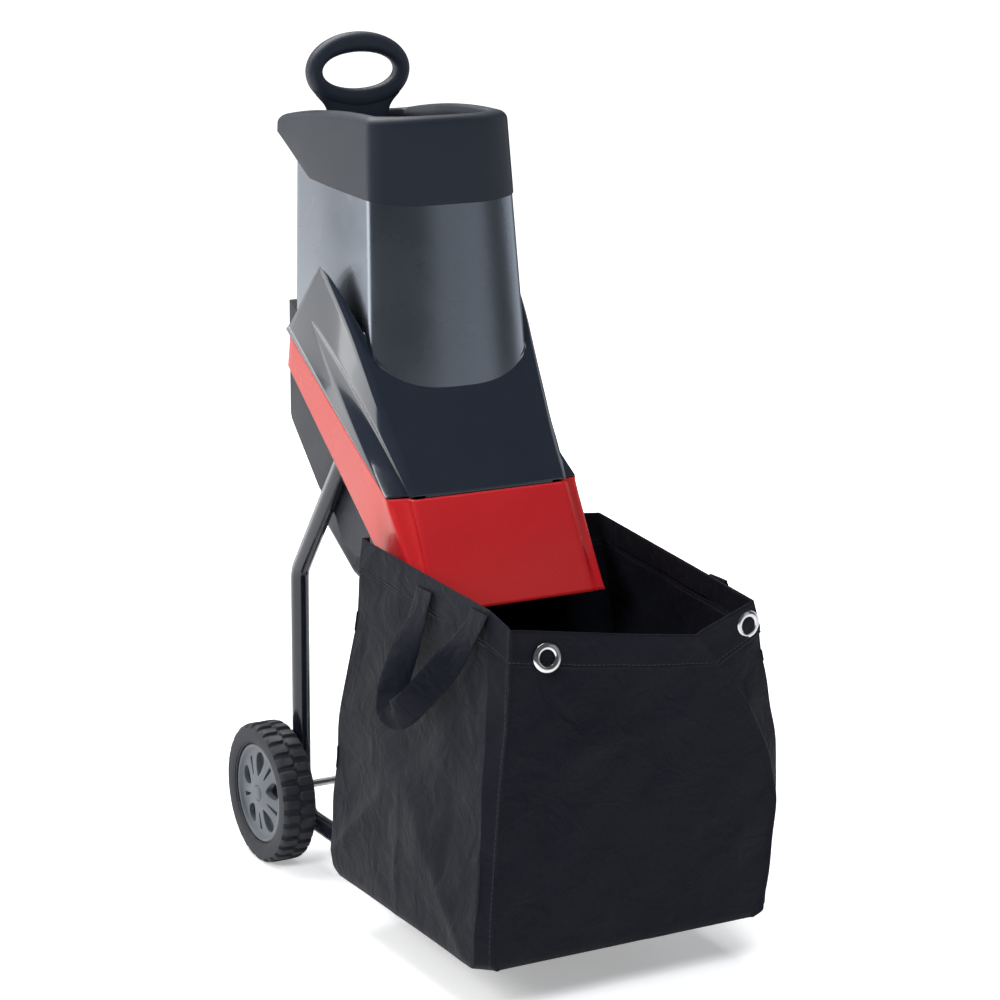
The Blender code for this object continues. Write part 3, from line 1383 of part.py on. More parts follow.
def make_lock():
    along = lock_axis()[1]
    bottom = gap
    top = bottom + lug_thickness

    def wall_y(z):
        return hopper_rear(z) + gap
    base_z = hopper_low_z
    for _ in range(5):
        base_z = deck_height(wall_y(base_z), bottom)
    rear_face = wall_y(base_z)
    start = deck_coords(rear_face + 0.0055, deck_height(rear_face + 0.0055))[0]

    def place(a, b, up):
        return deck(a, along + b, up)
    ear = ear_half_width
    lug = rounded([(-ear, start), (ear, start), (ear, start + 0.006), (lug_half_width, along - 0.002),
                   (lug_half_width, along + lug_half_width), (-lug_half_width, along + lug_half_width),
                   (-lug_half_width, along - 0.002), (-ear, start + 0.006)],
                  [0, 0, 0.003, 0.008, 0.010, 0.010, 0.008, 0.003], 2)
    bracket = add_object("lock_bracket", prism(lug, deck_top_place, bottom, top), collar_grey)
    tab = [(wall_y(base_z + 0.0005), base_z + 0.0005), (rear_face + 0.006, base_z + 0.0045),
           (wall_y(base_z + 0.040) + 0.006, base_z + 0.040), (wall_y(base_z + 0.044) + 0.003, base_z + 0.044),
           (wall_y(base_z + 0.044), base_z + 0.044)]
    tab_solid = prism(tab, side_place, -ear + 0.0010, ear - 0.0010)
    fuse(bracket, add_object("bracket_tab", tab_solid, None, (0, 0, 0), True))
    notch = box_points(-knob_radius - 0.003, knob_radius + 0.003, base_z + 0.014, base_z + 0.06)
    cut(bracket, add_object("bracket_notch", prism(notch, rear_place, rear_face - 0.001, rear_face + 0.02),
                            None,
                            (0, 0, 0), True))
    hole = turned(lock_hole_radius, -0.02, 0.04, 14, place)
    cut(bracket, add_object("bracket_hole", hole, None, (0, 0, 0), True))
    for k, x in enumerate((-ear_screw_x, ear_screw_x)):
        def screw_place(a, b, out, x=x):
            return Vector((x + a, wall_y(base_z + 0.026) + out, base_z + 0.026 + b))
        inner = -hopper_skin - gap
        screw = [(0, inner - 0.004), (0.002, inner - 0.004), (0.002, 0.0040), (0.0036, 0.0040),
                 (0.0036, 0.0056),
                 (0, 0.0060)]
        add_object(f"bracket_screw_{k + 1}", revolve(screw, 12, screw_place, False), bright_steel)
        bore = revolve([(0, inner - 0.006), (0.002 + gap, inner - 0.006), (0.002 + gap, 0.0040 - gap),
                        (0.0036 + gap, 0.0040 - gap), (0.0036 + gap, 0.02), (0, 0.02)], 12, screw_place,
                       False)
        cutter = add_object(f"bracket_screw_hole_{k}", bore, None, (0, 0, 0), True)
        cut(bracket, cutter)
        cut(bpy.data.objects["hopper_body"], cutter)
    origin = place(0, 0, top)
    seat = top + gap
    sleeve = turned(sleeve_radius, seat, seat + sleeve_height, 16, place, lock_screw_radius + gap / 3, 0.0005)
    add_object("lock_sleeve", sleeve, bright_steel, origin)
    knob_low = seat + sleeve_height + gap
    knob_top = knob_low + knob_height
    profile = [(lock_screw_radius + gap, knob_low), (knob_radius * 0.55, knob_low),
               (knob_radius, knob_low + 0.006),
               (knob_radius, knob_top - 0.003), (knob_radius - 0.003, knob_top),
               (lock_screw_radius + gap, knob_top)]
    rings = []
    for k in range(24):
        turn = 2 * pi * k / 24
        dent = 0.0022 if k % 4 == 0 else 0.0
        rings.append([place((r - dent * (r > knob_radius * 0.7)) * cos(turn),
                            (r - dent * (r > knob_radius * 0.7)) * sin(turn), h) for r, h in profile])
    add_object("lock_knob", loft_loop(rings), button_black, origin)
    screw = [(0, -lock_bite), (lock_screw_radius - 0.001, -lock_bite),
             (lock_screw_radius, -lock_bite + 0.001),
             (lock_screw_radius, knob_top + gap), (lock_screw_radius + 0.003, knob_top + gap),
             (lock_screw_radius + 0.003, knob_top + 0.002), (0, knob_top + 0.0025)]
    add_object("lock_screw", revolve(screw, 16, place, False), bright_steel, origin)


make_lock()


# Switch plate with its buttons, inlet and safety switch

def make_rear_fittings():
    face = housing_rear_y + gap
    front = face + switch_proud
    outline = rounded(box_points(-switch_half_width, switch_half_width, switch_z - switch_half_height,
                                 switch_z + switch_half_height), 0.005, 2)
    plate = add_object("switch_plate", prism(outline, rear_place, face, front), button_black)
    back = rounded(box_points(-switch_half_width + 0.0045, switch_half_width - 0.0045,
                              switch_z - switch_half_height + 0.0045, switch_z + switch_half_height - 0.0045),
                   0.003, 2)
    body = prism(back, rear_place, face - 0.030, face + 0.001)
    fuse(plate, add_object("switch_body", body, None, (0, 0, 0), True))
    specs = (("on_button", -button_shift - 0.004, button_half, button_green),
             ("off_button", button_shift * 0.2, button_half, button_red),
             ("reset_button", button_shift + 0.007, 0.0050, button_black))
    for name, x, half, finish in specs:
        low = face - 0.004
        origin = (x, front, switch_z)
        shape = rounded(box_points(x - half, x + half, switch_z - half, switch_z + half), half * 0.35, 2)
        if name == "reset_button":
            shape = circle_points(x, switch_z, half, 14)
        add_object(name, prism(shape, rear_place, low, front + button_proud), finish, origin)
        grow = 1 + run_gap / 2 / half
        well = [(x + (a - x) * grow, switch_z + (b - switch_z) * grow) for a, b in shape]
        cut(plate, add_object(f"{name}_well", prism(well, rear_place, low - 0.0050, front + 0.01), None,
                              (0, 0, 0),
                              True))

    def place(a, b, out):
        return Vector((a, face + out, inlet_z + b))
    r = inlet_radius
    profile = [
        (0, -0.016), (r - 0.0055, -0.016), (r - 0.0055, 0.0), (r, 0.0), (r, 0.004), (r - 0.004, 0.006),
        (r - 0.004, inlet_proud), (r - 0.0065, inlet_proud), (r - 0.0065, 0.002), (0, 0.002),
    ]
    inlet = add_object("inlet_socket", revolve(profile, 16, place, False), button_black)
    for k in range(3):
        turn = radians(90 + 120 * k)
        pin = prism(circle_points(0.008 * cos(turn), 0.008 * sin(turn), 0.0022, 8), place, 0.001, 0.018)
        fuse(inlet, add_object(f"inlet_pin_{k}", pin, None, (0, 0, 0), True))
    along = lock_axis()[1]
    back_y = housing_rear_y - wall - gap
    top = deck_height(back_y - 0.02, -wall - 3 * gap)
    block = box_points(-0.010, 0.010, top - 0.018, top - 0.006)
    add_object("safety_switch", prism(block, rear_place, back_y - 0.020, back_y), button_black)


make_rear_fittings()


# Catch bag with handles and eyelets

def bag_base(left, right, grow, cut_off):
    """Plan of the bag as a rectangle with cut corners and extra points on the long runs."""
    rear = bag_rear_y + grow
    front = bag_front_y - grow
    c = cut_off
    dip = bag_dip_half
    return [
        (right, rear - c), (dip + 0.014, rear), (dip, rear), (0, rear), (-dip, rear), (-dip - 0.012, rear),
        (-left, rear - c), (-left, mix(rear, front, 0.4)), (-left, front + c), (-left + c, front),
        (-left * 0.3, front), (right * 0.3, front), (right - c, front), (right, front + c),
        (right, mix(rear, front, 0.4)),
    ]


def bag_rim():
    """The rim as it hangs: fifteen points in the order of the plan."""
    rear = -0.247
    dip = bag_dip_half
    left = Vector(bag_front_left)
    right = Vector(bag_front_right)
    return [
        Vector(bag_rear_right), Vector((dip + 0.014, rear - 0.002, bag_rear_right[2] - 0.004)),
        Vector((dip, rear, bag_dip_z)), Vector((0, rear, bag_dip_z)), Vector((-dip, rear, bag_dip_z)),
        Vector((-dip - 0.012, rear - 0.002, bag_rear_left[2] - 0.004)), Vector(bag_rear_left),
        Vector(bag_rear_left).lerp(Vector(bag_corner_left), 0.5), Vector(bag_corner_left), left,
        left.lerp(right, 0.36) + Vector((0, 0.003, -0.001)),
            left.lerp(right, 0.72) + Vector((0, 0.001, -0.001)), right,
        Vector(bag_corner_right), Vector(bag_rear_right).lerp(Vector(bag_corner_right), 0.5),
    ]


def bag_rings(inset, floor):
    """Rings from the floor to the rim, each moved in by inset."""
    half = bag_half_width
    plans = [
        (0.0, bag_base(half - 0.004, half - 0.004, -0.004, 0.020), 0.0),
        (0.03, bag_base(half, half, 0.0, 0.014), 0.0),
        (0.45, bag_base(bag_belly_left, bag_belly_right, -0.003, 0.012), 0.0),
        (0.78, bag_base(bag_belly_left - 0.004, bag_belly_right - 0.002, -0.005, 0.022), 0.55),
        (1.0, bag_base(half, half, 0, 0.02), 1.0),
    ]
    rim = bag_rim()
    rings = []
    for share, plan, pull in plans:
        ring = []
        count = len(plan)
        flat = [Vector((x, y, 0)).lerp(Vector((r.x, r.y, 0)), pull) for (x, y), r in zip(plan, rim)]
        for i, here in enumerate(flat):
            ahead = (flat[(i + 1) % count] - here).normalized()
            behind = (here - flat[i - 1]).normalized()
            run = (ahead + behind).normalized()
            inward_side = Vector((-run.y, run.x, 0))
            stretch = 1 / max(0.5, run.dot(ahead))
            spot = here + inward_side * (inset * stretch)
            ring.append(Vector((spot.x, spot.y, mix(bag_low_z + floor, rim[i].z, share))))
        rings.append(ring)
    return rings


def make_bag():
    outer = bag_rings(0, 0)
    inner = bag_rings(bag_wall, bag_wall)
    bag = add_object("catch_bag", loft(outer + list(reversed(inner))), bag_cloth)
    make_eyelet(bag, "left", outer, 9, 0.10)
    make_eyelet(bag, "right", outer, 12, 0.80)
    for word, side in (("left", -1), ("right", 1)):
        make_handle(word, side)


def make_eyelet(bag, word, rings, i, t):
    """A pressed metal ring that fills its hole in the hem, between rim points i and i + 1."""
    low_a, low_b, top_a, top_b = rings[3][i], rings[3][i + 1], rings[4][i], rings[4][i + 1]
    top = top_a.lerp(top_b, t)
    low = low_a.lerp(low_b, t)
    down = (low - top).normalized()
    centre = top + down * eyelet_drop
    across = (top_b - top_a).normalized()
    outwards = across.cross(-down).normalized()
    across = outwards.cross(down)
    if outwards.y > 0:
        outwards = -outwards

    def place(a, b, out):
        return centre + across * a + down * b + outwards * out
    hole = turned(eyelet_radius + gap, -0.02, 0.02, 16, place)
    cut(bag, add_object(f"eyelet_hole_{word}", hole, None, (0, 0, 0), True))
    r = eyelet_radius
    back = -bag_wall - 0.0012
    profile = [(eyelet_hole, back + 0.0006), (r - 0.003, back), (r, back + 0.0008), (r, 0.0006),
               (r - 0.003, 0.0014),
               (eyelet_hole, 0.0004)]
    add_object(f"eyelet_{word}", revolve(profile, 16, place), bright_steel)


def bag_side(y, z, side):
    """Distance of the bag's side wall from the middle plane."""
    rings = bag_rings(0, 0)
    i, j = (14, 13) if side > 0 else (7, 8)
    best = None
    for low, high in zip(rings[1:], rings[2:]):
        a = low[i].lerp(low[j], max(0.0, min(1.0, (y - low[i].y) / (low[j].y - low[i].y))))
        b = high[i].lerp(high[j], max(0.0, min(1.0, (y - high[i].y) / (high[j].y - high[i].y))))
        if z <= b.z or high is rings[-1]:
            best = mix(abs(a.x), abs(b.x), max(0.0, min(1.0, (z - a.z) / (b.z - a.z))))
            break
    return best


def make_handle(word, side):
    """A webbing loop that hangs outside the bag from two sewn ends."""
    rim_z = mix(bag_rear_left[2], bag_corner_left[2], 0.7) - 0.020
    steps = 12
    rings = []
    for k in range(steps + 1):
        t = k / steps
        y = strap_y + strap_spread * (1 - 2 * t)
        z = rim_z - strap_drop * sin(pi * t) ** 0.7
        out = mix(bag_side(y, z, side) + 4 * gap, strap_reach - strap_thickness, sin(pi * t))
        run_y = -2 * strap_spread
        run_z = -strap_drop * 0.7 * pi * cos(pi * t) * max(0.05, sin(pi * t)) ** -0.3
        size = hypot(run_y, run_z)
        up = Vector((0, -run_z / size, run_y / size)) * (strap_width / 2)
        if k in (0, steps):
            up = Vector((0, strap_width / 2 if k == 0 else -strap_width / 2, 0))
        base = Vector((side * out, y, z))
        thick = Vector((side * strap_thickness, 0, 0))
        rings.append([base - up, base + up, base + up + thick, base - up + thick])
    add_object(f"bag_handle_{word}", loft(rings), bag_cloth)


make_bag()
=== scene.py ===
import bpy
import bmesh
import numpy as np
from math import cos, pi, radians, sin, tan
from mathutils import Matrix, Vector


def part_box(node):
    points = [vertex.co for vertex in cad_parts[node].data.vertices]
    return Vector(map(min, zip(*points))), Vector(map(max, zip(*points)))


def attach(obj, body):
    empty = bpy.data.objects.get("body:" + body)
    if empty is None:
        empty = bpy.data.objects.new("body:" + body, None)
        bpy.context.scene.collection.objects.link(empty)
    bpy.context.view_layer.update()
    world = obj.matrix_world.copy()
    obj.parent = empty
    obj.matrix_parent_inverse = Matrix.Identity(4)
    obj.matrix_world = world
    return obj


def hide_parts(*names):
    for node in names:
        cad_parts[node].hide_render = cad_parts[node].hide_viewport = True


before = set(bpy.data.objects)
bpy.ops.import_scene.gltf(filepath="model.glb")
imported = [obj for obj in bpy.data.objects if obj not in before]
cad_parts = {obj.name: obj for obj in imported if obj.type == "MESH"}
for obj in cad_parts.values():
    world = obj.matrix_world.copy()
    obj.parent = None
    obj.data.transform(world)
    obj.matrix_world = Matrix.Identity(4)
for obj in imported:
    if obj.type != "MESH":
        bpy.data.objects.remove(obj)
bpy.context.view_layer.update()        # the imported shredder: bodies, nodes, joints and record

wheelAxis = sum(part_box("axle_rod"), Vector()) / 2        # the wheels' axle carries the whole layout
axleY = wheelAxis.y
scene = bpy.context.scene
print("frame loaded, nodes:", len(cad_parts))


# camera, light and floor

view = {"yaw": -29.39, "pitch": 13.58, "distance": 3.918, "shiftX": 0.152, "shiftZ": 0.438, "roll": 0.29,
        "lens": 108.72}


def makeCamera(s):
    yaw, pitch = radians(s["yaw"]), radians(s["pitch"])
    back = Vector((sin(yaw) * cos(pitch), -cos(yaw) * cos(pitch), sin(pitch)))
    right = (-back).cross(Vector((0, 0, 1))).normalized()
    up = right.cross(-back)
    spot = back * s["distance"] + right * s["shiftX"] + up * s["shiftZ"] + Vector((0, axleY, 0))
    camera = bpy.data.objects.new("photoCamera", bpy.data.cameras.new("photoCamera"))
    turn = Matrix((right, up, back)).transposed().to_4x4()
    camera.matrix_world = Matrix.Translation(spot) @ turn @ Matrix.Rotation(radians(s["roll"]), 4, "Z")
    camera.data.lens = s["lens"]
    camera.data.sensor_width = 36
    scene.collection.objects.link(camera)
    scene.camera = camera


makeCamera(view)

lamps = {
    "backLeftPanel": {"at": (-2.21, 1.83, 1.75), "aim": (0, 0, 1.2), "size": (1.6, 3.4), "power": 46},
    "backLeftCard": {"at": (-1.75, 2.75, 0.02), "aim": (-1.75, 2.75, 3), "size": (2.4, 2.9), "power": 22,
                     "diffuse": False},
    "backPanel": {"at": (-0.75, 2.9, 1.15), "aim": (0, 0, 1.0), "size": (1.3, 2.3), "power": 11},
    "leftKey": {"at": (-2.7, -1.5, 2.1), "aim": (0, 0, 0.5), "size": (1.1, 1.1), "power": 85,
                "tint": (1, 0.99, 0.97), "glossy": False},
    "topSoft": {"at": (-0.2, 1.1, 3.0), "aim": (0, -0.1, 0.4), "size": (2.4, 2.0), "power": 110},
    "frontFill": {"at": (-0.7, -2.9, 3.5), "aim": (0, 0, 0.5), "size": (1.2, 1.2), "power": 90,
                  "tint": (0.97, 0.98, 1), "glossy": False},
    "rightPanel": {"at": (2.7, -0.1, 1.2), "aim": (0, 0, 1.0), "size": (1.6, 2.4), "power": 12,
                   "tint": (0.92, 0.96, 1)},
    "frontRightPanel": {"at": (1.7, -2.5, 1.2), "aim": (0, 0, 1.0), "size": (1.1, 2.4), "power": 3.6,
                        "tint": (0.90, 0.95, 1)},
}


def makeLamp(name, s):
    lamp = bpy.data.lights.new(name, "AREA")
    lamp.shape = "RECTANGLE"
    lamp.size, lamp.size_y = s["size"]
    lamp.energy = s["power"]
    lamp.color = s.get("tint", (1, 1, 1))
    holder = bpy.data.objects.new(name, lamp)
    holder.location = s["at"]
    holder.rotation_euler = (Vector(s["aim"]) - Vector(s["at"])).to_track_quat("-Z", "Y").to_euler()
    holder.visible_camera = False
    holder.visible_glossy = s.get("glossy", True)
    holder.visible_diffuse = s.get("diffuse", True)
    scene.collection.objects.link(holder)


for lampName, lampSet in lamps.items():
    makeLamp(lampName, lampSet)


def addNode(tree, kind, **settings):
    node = tree.nodes.new(kind)
    for key, value in settings.items():
        if key == "values":
            for socket, amount in value.items():
                node.inputs[socket].default_value = amount
        else:
            setattr(node, key, value)
    return node


def wire(tree, start, output, end, socket):
    tree.links.new(start.outputs[output], end.inputs[socket])


def makeWorld():
    # a dim blue sky for the lighting, white paper for what the camera sees behind the object
    sky = bpy.data.worlds.new("studio")
    sky.use_nodes = True
    tree = sky.node_tree
    dim = tree.nodes["Background"]
    dim.inputs["Color"].default_value = (0.80, 0.88, 1.0, 1)
    dim.inputs["Strength"].default_value = 0.11
    paper = addNode(tree, "ShaderNodeBackground", values={"Color": (1, 1, 1, 1)})
    looks = addNode(tree, "ShaderNodeLightPath")
    pick = addNode(tree, "ShaderNodeMixShader")
    wire(tree, looks, "Is Camera Ray", pick, "Fac")
    wire(tree, dim, "Background", pick, 1)
    wire(tree, paper, "Background", pick, 2)
    wire(tree, pick, "Shader", tree.nodes["World Output"], "Surface")
    scene.world = sky


makeWorld()
scene.view_settings.view_transform = "Standard"
print("camera and lights set")


# shared shader groups

def newGroup(name, inputs, outputs):
    # a group that takes a vector and the named numbers, and gives the named numbers
    group = bpy.data.node_groups.new(name, "ShaderNodeTree")
    group.interface.new_socket(name="Vector", in_out="INPUT", socket_type="NodeSocketVector")
    for label, value in inputs.items():
        socket = group.interface.new_socket(name=label, in_out="INPUT", socket_type="NodeSocketFloat")
        socket.default_value = value
    for label in outputs:
        group.interface.new_socket(name=label, in_out="OUTPUT", socket_type="NodeSocketFloat")
    return group, group.nodes.new("NodeGroupInput"), group.nodes.new("NodeGroupOutput")


def addNoise(tree, source, vector, scale, detail, roughness, **more):
    noise = addNode(tree, "ShaderNodeTexNoise",
                    values={"Scale": scale, "Detail": detail, "Roughness": roughness, **more})
    wire(tree, source, vector, noise, "Vector")
    return noise


def addRange(tree, source, output, low, high, toLow=0.0, toHigh=1.0):
    # stretches the part of a value between low and high over the range asked for
    stretch = addNode(tree, "ShaderNodeMapRange",
                      values={"From Min": low, "From Max": high, "To Min": toLow, "To Max": toHigh})
    wire(tree, source, output, stretch, "Value")
    return stretch


def grainGroup():
    # fine moulded grain plus a broad unevenness: two noises of the given sizes
    group, gin, gout = newGroup("mouldGrain", {"Fine": 900.0, "Broad": 9.0}, ("Fine", "Broad"))
    for label, detail in (("Fine", 4.0), ("Broad", 3.0)):
        noise = addNoise(group, gin, "Vector", 1.0, detail, 0.6)
        wire(group, gin, label, noise, "Scale")
        wire(group, noise, "Fac", gout, label)
    return group


def maskGroup(name, look, grain):
    # a property of the surface, broken by a noise and multiplied by an amount
    group, gin, gout = newGroup(name, {"Amount": 0.3}, ("Mask",))
    output, low, high = look
    source = addNode(group, "ShaderNodeNewGeometry")
    if output == "Normal":
        split = addNode(group, "ShaderNodeSeparateXYZ")
        wire(group, source, "Normal", split, "Vector")
        source, output = split, "Z"
    where = addRange(group, source, output, low, high)
    scale, detail, roughness, low, high = grain
    noise = addNoise(group, gin, "Vector", scale, detail, roughness)
    spots = addRange(group, noise, "Fac", low, high)
    first = addNode(group, "ShaderNodeMath", operation="MULTIPLY")
    second = addNode(group, "ShaderNodeMath", operation="MULTIPLY")
    wire(group, where, "Result", first, 0)
    wire(group, spots, "Result", first, 1)
    wire(group, first, "Value", second, 0)
    wire(group, gin, "Amount", second, 1)
    wire(group, second, "Value", gout, "Mask")
    return group


def feltGroup():
    # pressed non-woven cloth: loose fibres and a grid of small pressed dots, both as height and shade
    group, gin, gout = newGroup("pressedFelt", {"Dots": 620.0}, ("Height", "Shade"))
    fibres = addNoise(group, gin, "Vector", 1500.0, 5.0, 0.7)
    dots = addNode(group, "ShaderNodeTexVoronoi", values={"Randomness": 0.25})
    wire(group, gin, "Vector", dots, "Vector")
    wire(group, gin, "Dots", dots, "Scale")
    pit = addRange(group, dots, "Distance", 0.15, 0.45)
    both = addNode(group, "ShaderNodeMath", operation="MULTIPLY_ADD", values={1: 0.5})
    wire(group, pit, "Result", both, 0)
    wire(group, fibres, "Fac", both, 2)
    wire(group, both, "Value", gout, "Height")
    wire(group, addNoise(group, gin, "Vector", 7.0, 6.0, 0.65), "Fac", gout, "Shade")
    return group


# dust settles where the surface looks up; scuffs are a fine noise kept at its peaks, on convex edges
groups = {
    "grain": grainGroup(),
    "dust": maskGroup("settledDust", ("Normal", 0.35, 1.0), (26.0, 6.0, 0.7, 0.42, 0.72)),
    "scuff": maskGroup("edgeScuff", ("Pointiness", 0.52, 0.60), (160.0, 5.0, 0.75, 0.50, 0.70)),
    "felt": feltGroup(),
}


def colourMix(tree, factor, first, second):
    # a plain mix of two colours by a mask; each end is a colour or another node's output
    mixer = addNode(tree, "ShaderNodeMix", data_type="RGBA")
    tree.links.new(factor, mixer.inputs["Factor"])
    for index, end in ((6, first), (7, second)):
        if isinstance(end, tuple):
            mixer.inputs[index].default_value = (*end, 1)
        else:
            tree.links.new(end, mixer.inputs[index])
    return mixer.outputs[2]


def newMaterial(name):
    made = bpy.data.materials.new(name)
    made.use_nodes = True
    tree = made.node_tree
    return made, tree, tree.nodes["Principled BSDF"], addNode(tree, "ShaderNodeTexCoord")


def useGroup(tree, coords, kind, **values):
    user = addNode(tree, "ShaderNodeGroup", node_tree=groups[kind])
    for socket, amount in values.items():
        user.inputs[socket].default_value = amount
    wire(tree, coords, "Object", user, "Vector")
    return user


def makeFinish(name, s):
    # a moulded or painted finish: colour varied by broad grain, dust, scuffed edges, fine grain as bump
    made, tree, shader, coords = newMaterial(name)
    grain = useGroup(tree, coords, "grain", Fine=s["fine"], Broad=9.0)
    dust = useGroup(tree, coords, "dust", Amount=s.get("dust", 0.2))
    scuff = useGroup(tree, coords, "scuff", Amount=s.get("scuff", 0.3))
    worn = s.get("scuffColour", tuple(min(1, c * 2 + 0.05) for c in s["light"]))
    shade = colourMix(tree, grain.outputs["Broad"], s["dark"], s["light"])
    shade = colourMix(tree, scuff.outputs["Mask"], shade, worn)
    shade = colourMix(tree, dust.outputs["Mask"], shade, (0.42, 0.41, 0.39))
    tree.links.new(shade, shader.inputs["Base Color"])
    spread = addRange(tree, grain, "Broad", 0.3, 0.7, *s["rough"])
    dull = addNode(tree, "ShaderNodeMath", operation="MULTIPLY_ADD", values={1: 0.5})
    wire(tree, dust, "Mask", dull, 0)
    wire(tree, spread, "Result", dull, 2)
    wire(tree, dull, "Value", shader, "Roughness")
    bump = addNode(tree, "ShaderNodeBump", values={"Strength": s["bump"], "Distance": 0.0004})
    wire(tree, grain, "Fine", bump, "Height")
    wire(tree, bump, "Normal", shader, "Normal")
    for socket, key, usual in (("Metallic", "metallic", 0.0), ("IOR", "ior", 1.5),
                               ("Coat Weight", "coat", 0.0), ("Coat Roughness", "coatRough", 0.05),
                               ("Anisotropic", "anisotropic", 0.0), ("Specular IOR Level", "specular", 0.5)):
        shader.inputs[socket].default_value = s.get(key, usual)
    shader.inputs["Specular Tint"].default_value = (*s.get("specularTint", (1, 1, 1)), 1)
    return made


def makeCloth(name, s):
    # non-woven cloth: felt fibres, pressed dots and wrinkles as bump, broad shade changes, a soft sheen
    made, tree, shader, coords = newMaterial(name)
    felt = useGroup(tree, coords, "felt", Dots=s["dots"])
    dust = useGroup(tree, coords, "dust", Amount=s["dust"])
    shade = colourMix(tree, felt.outputs["Shade"], s["dark"], s["light"])
    shade = colourMix(tree, dust.outputs["Mask"], shade, (0.30, 0.29, 0.27))
    tree.links.new(shade, shader.inputs["Base Color"])
    wire(tree, addRange(tree, felt, "Shade", 0.3, 0.7, *s["rough"]), "Result", shader, "Roughness")
    wrinkles = addNoise(tree, coords, "Object", 24.0, 4.0, 0.55, Distortion=0.6)
    slack = addNode(tree, "ShaderNodeBump", values={"Strength": 0.6, "Distance": 0.010})
    bump = addNode(tree, "ShaderNodeBump", values={"Strength": s["bump"], "Distance": 0.0006})
    wire(tree, wrinkles, "Fac", slack, "Height")
    wire(tree, slack, "Normal", bump, "Normal")
    wire(tree, felt, "Height", bump, "Height")
    wire(tree, bump, "Normal", shader, "Normal")
    for socket, amount in (("Sheen Weight", s["sheen"]), ("Sheen Roughness", 0.45), ("IOR", 1.45),
                           ("Specular IOR Level", s["specular"])):
        shader.inputs[socket].default_value = amount
    return made


hardSets = {
    "hoodBlack": {"dark": (0.008, 0.011, 0.018), "light": (0.014, 0.019, 0.028), "rough": (0.12, 0.17),
                  "fine": 420.0, "bump": 0.02, "coat": 0.5, "ior": 1.55, "dust": 0.0, "scuff": 0.0},
    "coverRed": {"dark": (0.345, 0.008, 0.013), "light": (0.405, 0.014, 0.018), "rough": (0.24, 0.32),
                 "fine": 420.0, "bump": 0.03, "dust": 0.0, "scuff": 0.03, "scuffColour": (0.75, 0.20, 0.20),
                 "specular": 0.6, "specularTint": (1.0, 0.68, 0.44)},
    "housingGrey": {"dark": (0.010, 0.0115, 0.017), "light": (0.016, 0.018, 0.025), "rough": (0.48, 0.60),
                    "fine": 1400.0, "bump": 0.25, "dust": 0.05, "specular": 0.32},
    "collarDark": {"dark": (0.008, 0.0105, 0.017), "light": (0.013, 0.0165, 0.025), "rough": (0.42, 0.52),
                   "fine": 1600.0, "bump": 0.20, "dust": 0.03, "scuff": 0.1, "specular": 0.36},
    "hopperGraphite": {"dark": (0.200, 0.222, 0.255), "light": (0.230, 0.252, 0.285), "rough": (0.24, 0.31),
                       "fine": 2200.0, "bump": 0.08, "metallic": 1.0, "dust": 0.01, "scuff": 0.0,
                       "coat": 0.15, "coatRough": 0.12},
    "tubeBlack": {"dark": (0.004, 0.005, 0.010), "light": (0.009, 0.010, 0.018), "rough": (0.18, 0.26),
                  "fine": 700.0, "bump": 0.05, "coat": 0.5, "dust": 0.03, "scuff": 0.1, "specular": 0.4},
    "tyreRubber": {"dark": (0.010, 0.011, 0.015), "light": (0.020, 0.021, 0.026), "rough": (0.58, 0.74),
                   "fine": 1300.0, "bump": 0.30, "dust": 0.18, "scuff": 0.5, "specular": 0.35},
    "rimGrey": {"dark": (0.045, 0.053, 0.065), "light": (0.066, 0.076, 0.090), "rough": (0.36, 0.46),
                "fine": 1500.0, "bump": 0.15, "dust": 0.12, "scuff": 0.3},
    "brightMetal": {"dark": (0.62, 0.62, 0.62), "light": (0.78, 0.77, 0.75), "rough": (0.10, 0.22),
                    "fine": 600.0, "bump": 0.05, "metallic": 1.0, "dust": 0.1},
    "platedSteel": {"dark": (0.42, 0.42, 0.43), "light": (0.60, 0.60, 0.60), "rough": (0.24, 0.38),
                    "fine": 800.0, "bump": 0.1, "metallic": 1.0, "dust": 0.2},
    "groundSteel": {"dark": (0.34, 0.35, 0.37), "light": (0.48, 0.49, 0.50), "rough": (0.26, 0.42),
                    "fine": 1100.0, "bump": 0.2, "metallic": 1.0, "anisotropic": 0.5, "dust": 0.1},
    "laminations": {"dark": (0.10, 0.09, 0.09), "light": (0.22, 0.21, 0.21), "rough": (0.40, 0.60),
                    "fine": 900.0, "bump": 0.3, "metallic": 0.8},
    "castMetal": {"dark": (0.26, 0.26, 0.27), "light": (0.36, 0.36, 0.37), "rough": (0.45, 0.6),
                  "fine": 700.0, "bump": 0.4, "metallic": 0.9},
    "carbonBlock": {"dark": (0.015, 0.015, 0.015), "light": (0.035, 0.035, 0.035), "rough": (0.5, 0.7),
                    "fine": 900.0, "bump": 0.3},
    "footRubber": {"dark": (0.008, 0.008, 0.009), "light": (0.020, 0.020, 0.021), "rough": (0.7, 0.9),
                   "fine": 1200.0, "bump": 0.3, "dust": 0.4},
    "blackPlastic": {"dark": (0.010, 0.011, 0.013), "light": (0.022, 0.023, 0.026), "rough": (0.36, 0.48),
                     "fine": 1300.0, "bump": 0.2},
    "buttonGreen": {"dark": (0.012, 0.24, 0.045), "light": (0.03, 0.34, 0.07), "rough": (0.32, 0.42),
                    "fine": 900.0, "bump": 0.1},
    "buttonRed": {"dark": (0.42, 0.012, 0.012), "light": (0.55, 0.025, 0.022), "rough": (0.32, 0.42),
                  "fine": 900.0, "bump": 0.1},
}
